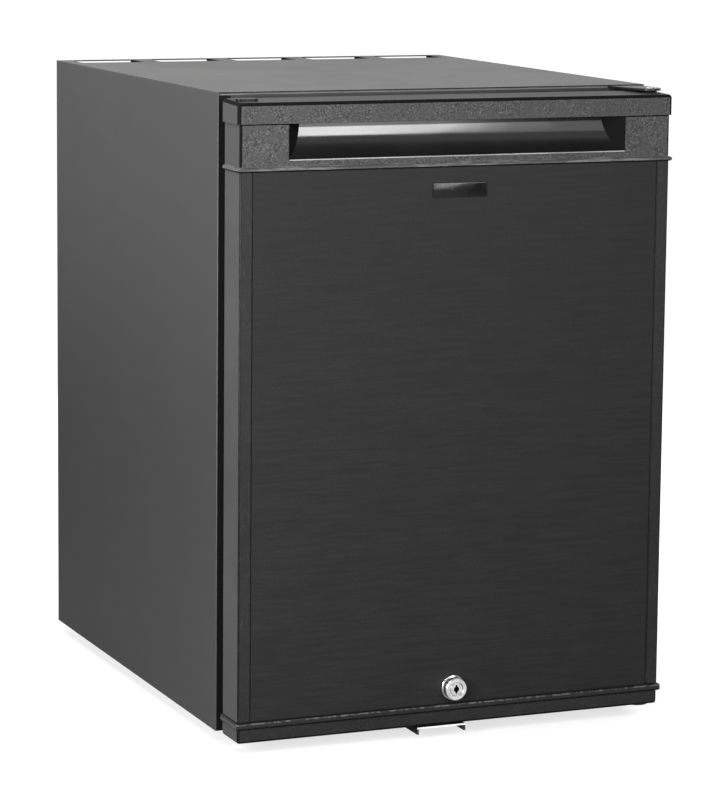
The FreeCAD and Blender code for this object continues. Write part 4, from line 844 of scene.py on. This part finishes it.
def sunk_head(rings, outline, depth, taper, steps, matrix):
    """Round head that looks along +Z: rings of (radius, height) from its face's rim to its end, and an
    outline sunk in the face."""
    work = bmesh.new()
    rim = bmesh.ops.create_circle(work, cap_ends=False, radius=rings[0][0], segments=steps)["verts"]
    rim_edges = [edge for edge in work.edges if edge.verts[0] in rim]
    sunk = [work.verts.new((x, y, 0.0)) for x, y in outline]
    sunk_edges = [work.edges.new(pair) for pair in zip(sunk, sunk[1:] + sunk[:1])]
    bmesh.ops.triangle_fill(work, use_beauty=True, edges=rim_edges + sunk_edges)
    drawn(work, sunk_edges, [(1.0, 0.0), (taper, -depth)])
    drawn(work, rim_edges, rings)
    bmesh.ops.transform(work, matrix=matrix, verts=work.verts)
    return work


def cross_outline(reach, half_width):
    """Corners of a screw's cross recess."""
    arm = [Vector((reach, -half_width)), Vector((reach, half_width)), Vector((half_width, half_width))]
    return [Matrix.Rotation(math.pi / 2 * quarter, 2) @ corner for quarter in range(4) for corner in arm]


def slot_outline(half_width, half_height, radius):
    """Corners of a key slot with a round opening in its middle."""
    lean = math.asin(half_width / radius)
    turns = [math.pi / 2 - lean - (math.pi - 2 * lean) * step / 8 for step in range(9)]
    right = [Vector((radius * math.cos(turn), radius * math.sin(turn))) for turn in turns]
    side = [Vector((half_width, half_height)), *right, Vector((half_width, -half_height))]
    return side + [-corner for corner in side]


def cross_screws(work, sizes, rings, turn, seats):
    """Adds like screws with a cross recess, one at each seat."""
    outline = cross_outline(sizes.cross_length / 2, sizes.cross_width / 2)
    for seat in seats:
        matrix = Matrix.Translation(seat) @ turn
        added(work, sunk_head(in_metres(rings), outline, sizes.cross_depth, CROSS_TAPER, 32, matrix))
    return work


def two_seats(low, high, inset, level):
    """Seats near both ends of a box, on its middle line."""
    return [(x, (low.y + high.y) / 2, level) for x in (low.x + inset, high.x - inset)]


# Operators: one for each group of like pieces

class FinishOperator:
    """What every operator of this panel shares."""
    bl_options = {"REGISTER", "UNDO"}


class FRIDGE_OT_finishes(FinishOperator, bpy.types.Operator):
    """Make the shared effects and every finish"""
    bl_idname = "fridge.finishes"
    bl_label = "Finishes"

    def execute(self, context):
        for name, (build, inputs) in EFFECTS.items():
            make_effect(name, build, inputs)
        for finish in FINISHES:
            finish(Finish(finish.__name__), context.scene.fridge_colours)
        return {"FINISHED"}


class FRIDGE_OT_cabinet(FinishOperator, bpy.types.Operator):
    """Finish the steel shell of the cabinet and roll the fold under its top sheet"""
    bl_idname = "fridge.cabinet"
    bl_label = "Cabinet shell"

    def execute(self, context):
        sizes = context.scene.fridge_sizes
        dress("powder_coat", sizes.sheet_edge, "side_panel_left", "side_panel_right", "top_panel")
        # The front frame's near-black finish also stands in as painted shade in the gap behind the door
        dress("blackened_steel_and_gap_shade", sizes.sheet_edge, "front_frame")
        dress("zinc_plate", sizes.sheet_edge, "base_panel", "rear_bulkhead", "unit_rails")
        dress("raw_foam", 0.0, "insulation_foam")
        low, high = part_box("top_panel")
        start = low.x + FOLD_INSET
        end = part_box("top_hinge_plate")[0].x - FOLD_GAP
        middle = ((start + end) / 2, low.y - sizes.fold_radius / 2, high.z - FOLD_DROP)
        work = rod(middle, sizes.fold_radius, end - start)
        keep_piece("front_fold", work, "rolled_fold", "cabinet")
        return {"FINISHED"}


class FRIDGE_OT_screws(FinishOperator, bpy.types.Operator):
    """Set the screws of the top sheet, the base and the rails with their cross recesses"""
    bl_idname = "fridge.screws"
    bl_label = "Screws"

    def execute(self, context):
        sizes = context.scene.fridge_sizes
        low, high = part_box("top_screws")
        work = cross_screws(bmesh.new(), sizes, FLUSH_SCREW, UP, two_seats(low, high, SCREW_RADIUS, high.z))
        keep_piece("top_sheet_screws", work, "blackened_steel_and_gap_shade", "cabinet", ["top_screws"])
        for node in ("bottom_hinge_screws", "keeper_screws"):
            low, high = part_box(node)
            work = cross_screws(bmesh.new(), sizes, BASE_SCREW, DOWN, two_seats(low, high, SCREW_RADIUS, low.z))
            keep_piece(node + "_crossed", work, "zinc_plate", "cabinet", [node])
        low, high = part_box("unit_rails")
        seats = [(x, high.y + RAIL_SCREW_RISE, z)
                 for x in (low.x + RAIL_SCREW_SIDE, RAIL_SCREW_MIDDLE, high.x - RAIL_SCREW_SIDE)
                 for z in (low.z + RAIL_SCREW_END, high.z - RAIL_SCREW_END)]
        work = cross_screws(bmesh.new(), sizes, RAIL_SCREW, REAR, seats)
        keep_piece("rail_screws", work, "zinc_plate", "cabinet")
        return {"FINISHED"}


class FRIDGE_OT_interior(FinishOperator, bpy.types.Operator):
    """Finish the liner, shelves, evaporator, tray and lamp"""
    bl_idname = "fridge.interior"
    bl_label = "Interior"

    def execute(self, context):
        sizes = context.scene.fridge_sizes
        dress("liner_plastic", sizes.moulded_edge, "inner_liner", "drip_tray", "lamp_housing")
        dress("coated_wire", 0.0, "lower_shelf", "upper_shelf")
        dress("cast_metal", sizes.sheet_edge, "evaporator")
        dress("frosted_lens", sizes.moulded_edge, "lamp_lens")
        return {"FINISHED"}


class FRIDGE_OT_door(FinishOperator, bpy.types.Operator):
    """Finish the shell, liner and racks of the door, and add the grip's lip and the folded gasket"""
    bl_idname = "fridge.door"
    bl_label = "Door"

    def execute(self, context):
        sizes = context.scene.fridge_sizes
        moulded = sizes.moulded_edge
        dress("grained_plastic", moulded, "door_top_cap")
        dress("grained_plastic", 2 * moulded, "handle_moulding")
        dress("profile_plastic", moulded, "side_profile_left", "side_profile_right", "bottom_cap")
        dress("panel_coat", sizes.sheet_edge, "front_panel")
        dress("liner_plastic", moulded, "door_liner", "lower_rack", "upper_rack", "bottle_rail")
        dress("raw_foam", 0.0, "door_foam")
        dress("magnet_strip", 0.0, "gasket_magnets")
        middle = (0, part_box("side_profile_left")[0].y + 0.6 * sizes.lip_radius,
                  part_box("handle_moulding")[1].z - sizes.lip_drop)
        work = rod(middle, sizes.lip_radius, 2 * sizes.lip_reach)
        keep_piece("grip_lip", work, "lip_highlight_coat", "door")
        low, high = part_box("gasket")
        profile = [(inset, low.y + depth) for inset, depth in in_metres(GASKET_FOLDS)]
        work = square_ring(profile, high.x, high.z - low.z, (low.z + high.z) / 2)
        keep_piece("bellows_gasket", work, "gasket_rubber", "door", ["gasket"])
        return {"FINISHED"}


class FRIDGE_OT_hinges(FinishOperator, bpy.types.Operator):
    """Finish hinge plates, pins, bushes, plug and keeper"""
    bl_idname = "fridge.hinges"
    bl_label = "Hinges and keeper"

    def execute(self, context):
        sheet = context.scene.fridge_sizes.sheet_edge
        dress("blackened_steel_and_gap_shade", sheet, "top_hinge_plate", "bottom_hinge_plate")
        dress("keeper_coat", sheet, "keeper_bracket")
        dress("zinc_plate", 0.0, "top_hinge_pin", "bottom_hinge_pin", "spare_nut_plate")
        dress("moulded_nylon", 0.0, "hinge_washer", "top_hinge_bush", "bottom_hinge_bush")
        dress("profile_plastic", sheet, "spare_hinge_plug")
        return {"FINISHED"}


class FRIDGE_OT_lock(FinishOperator, bpy.types.Operator):
    """Turn the lock's bezel and its keyed cylinder, and finish what is behind the panel"""
    bl_idname = "fridge.lock"
    bl_label = "Lock"

    def execute(self, context):
        sizes = context.scene.fridge_sizes
        low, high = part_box("lock_barrel")
        face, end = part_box("lock_cylinder")
        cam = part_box("lock_cam")[0]
        middle = (low + high) / 2
        radius = -face.x
        bore = radius + BORE_GAP
        flange = (high.x - low.x) / 2
        body = flange - sizes.bezel_set_in
        thread = flange - THREAD_SET_IN
        seat = low.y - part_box("front_panel")[0].y
        step = seat + sizes.bezel_step
        total = low.y - high.y
        profile = [(bore, total), (bore, -BORE_CHAMFER), (bore + BORE_CHAMFER, 0),
                   (body - sizes.bezel_chamfer, 0), (body, -sizes.bezel_chamfer), (body, step),
                   (flange - FLANGE_CHAMFER, step), (flange, step - FLANGE_CHAMFER), (flange, seat),
                   (thread, seat), (thread, total), (bore, total)]
        work = turned(profile, 72, Matrix.Translation((middle.x, low.y, middle.z)) @ FRONT)
        keep_piece("lock_bezel", work, "polished_chrome", "door", ["lock_barrel"])

        outline = slot_outline(sizes.slot_width / 2, sizes.slot_height / 2, sizes.slot_round)
        rings = [(radius - FACE_CHAMFER, 0.0), (radius, -FACE_CHAMFER), (radius, face.y - cam.y)]
        matrix = Matrix.Translation((middle.x, face.y, middle.z)) @ FRONT
        work = sunk_head(rings, outline, sizes.slot_depth, 1.0, 48, matrix)
        half = radius * TAIL_SHARE
        tail = block(Vector((middle.x - half, cam.y, middle.z - half)),
                     Vector((middle.x + half, end.y, middle.z + half)))
        keep_piece("lock_key_cylinder", added(work, tail), "polished_chrome", "lock", ["lock_cylinder"])
        dress("zinc_plate", sizes.sheet_edge, "lock_nut", "lock_cam", "cam_screw")
        return {"FINISHED"}


class FRIDGE_OT_plate(FinishOperator, bpy.types.Operator):
    """Set the blank plate on the front panel"""
    bl_idname = "fridge.plate"
    bl_label = "Blank plate"

    def execute(self, context):
        sizes = context.scene.fridge_sizes
        low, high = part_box("front_panel")
        top = high.z - sizes.plate_drop
        work = slab(Vector((-sizes.plate_width / 2, low.y - sizes.plate_thickness, top - sizes.plate_height)),
                    Vector((sizes.plate_width / 2, low.y, top)), sizes.plate_corner, 1, sizes.plate_thickness / 3)
        keep_piece("blank_plate", work, "gloss_plate", "door")
        return {"FINISHED"}


class FRIDGE_OT_cooling_unit(FinishOperator, bpy.types.Operator):
    """Finish the boiler, condenser, coil, vessel and power module, with their clamps, welds and lid"""
    bl_idname = "fridge.cooling_unit"
    bl_label = "Cooling unit"

    def execute(self, context):
        sizes = context.scene.fridge_sizes
        dress("unit_paint", 0.0, "condenser", "absorber_coil", "absorber_vessel")
        dress("zinc_plate", 0.0, "boiler_casing")
        dress("moulded_nylon", sizes.moulded_edge, "power_module")
        dress("moulded_nylon", 0.0, "cord_gland")

        low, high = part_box("boiler_casing")
        middle = (low + high) / 2
        radius = (high.x - low.x) / 2
        outside = radius + sizes.band_sheet
        half = sizes.band_width / 2
        strap = [(radius, -half), (outside, -half), (outside, half), (radius, half), (radius, -half)]
        work = bmesh.new()
        for z in (low.z + CLAMP_INSET, high.z - CLAMP_INSET):
            added(work, turned(strap, 64, Matrix.Translation((middle.x, middle.y, z))))
            lug = Vector((middle.x, middle.y + outside, z))
            added(work, slab(lug - Vector((LUG_HALF, LUG_INNER, half)), lug + Vector((LUG_HALF, LUG_OUTER, half)),
                             LUG_CORNER, 1, LUG_SOFT))
            cross_screws(work, sizes, CLAMP_SCREW, REAR, [lug + Vector((0, CLAMP_SCREW_RISE, 0))])
        keep_piece("boiler_clamps", work, "zinc_plate", "cabinet")

        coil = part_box("absorber_coil")[0]
        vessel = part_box("absorber_vessel")[0]
        bead = sizes.weld_radius
        work = bead_ring(COLLAR_WELD, bead, Matrix.Translation((coil.x + COIL_RADIUS, middle.y, coil.z)))
        added(work, bead_ring(CASING_WELD, bead, Matrix.Translation((middle.x, middle.y, high.z))))
        for x in (high.x, vessel.x + VESSEL_WELD_INSET):
            seat = Matrix.Translation((x, middle.y, vessel.z + VESSEL_RADIUS))
            added(work, bead_ring(VESSEL_WELD, bead, seat @ RIGHT))
        keep_piece("weld_beads", work, "unit_paint", "cabinet")

        low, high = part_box("power_module")
        over = Vector((LID_OVERHANG, LID_OVERHANG, 0))
        lid_low = Vector((low.x, low.y, high.z)) - over
        lid_high = Vector((high.x, high.y, high.z + sizes.lid_sheet)) + over
        work = slab(lid_low, lid_high, LID_CORNER, 2, LID_SOFT)
        cross_screws(work, sizes, LID_SCREW, UP, two_seats(low, high, LID_SCREW_INSET, lid_high.z + LID_SCREW_RISE))
        keep_piece("module_lid", work, "moulded_nylon", "cabinet")
        return {"FINISHED"}


class FRIDGE_OT_feet(FinishOperator, bpy.types.Operator):
    """Turn the four levelling feet with their grip flutes"""
    bl_idname = "fridge.feet"
    bl_label = "Levelling feet"

    def execute(self, context):
        share_in = context.scene.fridge_sizes.flute_share
        low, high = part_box("levelling_feet")
        work = bmesh.new()
        for x in (low.x + FOOT_RADIUS, high.x - FOOT_RADIUS):
            for y in (low.y + FOOT_RADIUS, high.y - FOOT_RADIUS):
                foot = turned(in_metres(FOOT), FOOT_STEPS, UP)
                flutes = [vert for vert in foot.verts if vert.co.xy.length > FOOT_RADIUS - 0.1 * MM
                          and round(math.atan2(vert.co.y, vert.co.x) * FOOT_STEPS / math.tau) % 3 == 0]
                bmesh.ops.scale(foot, vec=(share_in, share_in, 1.0), verts=flutes)
                bmesh.ops.translate(foot, vec=(x, y, 0), verts=foot.verts)
                added(work, foot)
        keep_piece("fluted_feet", work, "moulded_nylon", "cabinet", ["levelling_feet"])
        return {"FINISHED"}


class FRIDGE_OT_stage(FinishOperator, bpy.types.Operator):
    """Set up the floor, the lamps, the pale surroundings and the camera"""
    bl_idname = "fridge.stage"
    bl_label = "Stage"

    def execute(self, context):
        view = context.scene.fridge_stage
        middle = Vector((0, 0, cad_high.z / 2))
        make_floor(context.scene.fridge_colours)
        make_surroundings(view)
        lamp("side_lamp", (-0.55, 0.0, 1.0), middle, (0.35, 0.35), view.side_power)
        lamp("low_lamp", (-0.9, -0.75, 0.35), middle, (0.4, 0.4), view.low_power)
        lamp("strip_lamp", (0.52, -2.0, 0.98), middle, (0.60, 1.15), view.strip_power)
        lamp("fill_lamp", (1.25, -1.9, 1.3), middle, (0.9, 0.9), view.fill_power)
        lamp("near_lamp", (-0.6, -1.1, 0.9), middle, (0.4, 0.4), view.near_power)
        lamp("right_lamp", (1.1, 0.1, 0.8), middle, (0.6, 0.6), view.right_power)
        lamp("rear_lamp", (0.5, 1.6, 0.4), middle, (0.6, 0.3), view.rear_power)
        aim_camera(view, middle)
        context.scene.view_settings.view_transform = "Standard"
        return {"FINISHED"}


# Stage

def shown_rays(n):
    """1 for rays that meet the background itself: from the camera, or through glass."""
    rays = n.add("LightPath").outputs
    return n.maths("MAXIMUM", rays["Is Camera Ray"], rays["Is Transmission Ray"])


def mirrored_rays(n):
    """1 for rays that meet the background in a reflection."""
    return n.add("LightPath").outputs["Is Glossy Ray"]


def make_floor(colours):
    """Round pale floor that keeps the shadow and fades to white away from the fridge."""
    material = bpy.data.materials.new("pale_floor")
    material.use_nodes = True
    n = Nodes(material.node_tree)
    n.tree.nodes.clear()
    tint = n.shade(colours.floor, n.vary(n.noise(3.0, 2.0), 0.99, 1.01))
    matt = n.add("BsdfDiffuse", {"Color": tint}).outputs[0]
    away = n.add("VectorMath", {0: n.place()}, operation="LENGTH").outputs["Value"]
    shown = n.times(shown_rays(n), n.spread(away, 0.24, 0.55, 0.72, 1.0))
    behind = n.times(n.spread(n.where()["Y"], -0.4, 0.8, 0.0, 0.6), n.spread(away, 1.2, 4.5))
    glow = n.add("Emission", {"Strength": n.maths("MULTIPLY_ADD", mirrored_rays(n), behind, shown)}).outputs[0]
    n.add("OutputMaterial", {"Surface": n.add("AddShader", {0: matt, 1: glow}).outputs[0]})
    work = bmesh.new()
    bmesh.ops.create_circle(work, cap_ends=True, radius=FLOOR_RADIUS, segments=96)
    mesh = bpy.data.meshes.new("floor")
    work.to_mesh(mesh)
    work.free()
    mesh.materials.append(material)
    floor = bpy.data.objects.new("floor", mesh)
    bpy.context.scene.collection.objects.link(floor)


def make_surroundings(view):
    """World that is white to the camera, pale behind and dark in front in reflections, and lights evenly."""
    world = bpy.data.worlds.new("surroundings")
    bpy.context.scene.world = world
    world.use_nodes = True
    n = Nodes(world.node_tree)
    n.tree.nodes.clear()
    parts = n.apart(n.add("TexCoord").outputs["Generated"])
    behind = n.spread(parts["Y"], -0.1, 0.8, view.dark_side, 1.0)
    mirrored = n.maths("MAXIMUM", behind, n.spread(parts["Z"], 0.3, 0.8, view.dark_side, 0.45))
    strength = n.either(mirrored_rays(n), n.vary(shown_rays(n), view.ambient, 1.0), mirrored)
    sky = n.add("Background", {"Color": (1.0, 1.0, 1.0, 1.0), "Strength": strength}).outputs[0]
    n.add("OutputWorld", {"Surface": sky})


def lamp(name, stand, target, size, power):
    """Rectangular soft lamp that looks at a point."""
    light = bpy.data.lights.new(name, "AREA")
    light.shape = "RECTANGLE"
    light.size, light.size_y = size
    light.energy = power
    made = bpy.data.objects.new(name, light)
    bpy.context.scene.collection.objects.link(made)
    made.location = stand
    made.rotation_euler = (target - Vector(stand)).to_track_quat("-Z", "Y").to_euler()
    made.visible_camera = False


def aim_camera(view, middle):
    """Camera at the photograph's angle, distance, roll and small upright shift."""
    level = math.cos(view.elevation)
    back = Vector((math.sin(view.azimuth) * level, -math.cos(view.azimuth) * level, math.sin(view.elevation)))
    right = Vector((math.cos(view.azimuth), math.sin(view.azimuth), 0))
    up = back.cross(right)
    stand = middle + right * view.side_step + Vector((0, 0, view.rise)) + back * view.distance
    tilted_right = right * math.cos(view.roll) + up * math.sin(view.roll)
    tilted_up = up * math.cos(view.roll) - right * math.sin(view.roll)
    lens = bpy.data.cameras.new("camera")
    lens.lens = view.lens
    lens.shift_y = view.shift
    camera = bpy.data.objects.new("camera", lens)
    bpy.context.scene.collection.objects.link(camera)
    turn = Matrix((tilted_right, tilted_up, back)).transposed().to_4x4()
    camera.matrix_world = Matrix.Translation(stand) @ turn
    bpy.context.scene.camera = camera


# Panel and registration

OPERATORS = (FRIDGE_OT_finishes, FRIDGE_OT_cabinet, FRIDGE_OT_screws, FRIDGE_OT_interior, FRIDGE_OT_door,
             FRIDGE_OT_hinges, FRIDGE_OT_lock, FRIDGE_OT_plate, FRIDGE_OT_cooling_unit, FRIDGE_OT_feet,
             FRIDGE_OT_stage)


class FRIDGE_PT_finisher(bpy.types.Panel):
    """Lists the steps that dress the fridge"""
    bl_idname = "FRIDGE_PT_finisher"
    bl_label = "Minibar fridge"
    bl_space_type = "VIEW_3D"
    bl_region_type = "UI"
    bl_category = "Fridge"

    def draw(self, context):
        column = self.layout.column()
        for operator in OPERATORS:
            column.operator(operator.bl_idname)


CLASSES = (FridgeColours, FridgeSizes, FridgeStage, *OPERATORS, FRIDGE_PT_finisher)


def register():
    """Registers the settings, the operators and the panel."""
    for item in CLASSES:
        bpy.utils.register_class(item)
    bpy.types.Scene.fridge_colours = bpy.props.PointerProperty(type=FridgeColours)
    bpy.types.Scene.fridge_sizes = bpy.props.PointerProperty(type=FridgeSizes)
    bpy.types.Scene.fridge_stage = bpy.props.PointerProperty(type=FridgeStage)


def unregister():
    """Takes the settings, the operators and the panel away again."""
    del bpy.types.Scene.fridge_stage
    del bpy.types.Scene.fridge_sizes
    del bpy.types.Scene.fridge_colours
    for item in reversed(CLASSES):
        bpy.utils.unregister_class(item)


def main():
    """Registers everything and runs the steps in order."""
    register()
    bpy.ops.fridge.finishes()
    bpy.ops.fridge.cabinet()
    bpy.ops.fridge.screws()
    bpy.ops.fridge.interior()
    bpy.ops.fridge.door()
    bpy.ops.fridge.hinges()
    bpy.ops.fridge.lock()
    bpy.ops.fridge.plate()
    bpy.ops.fridge.cooling_unit()
    bpy.ops.fridge.feet()
    bpy.ops.fridge.stage()


if __name__ == "__main__":
    main()
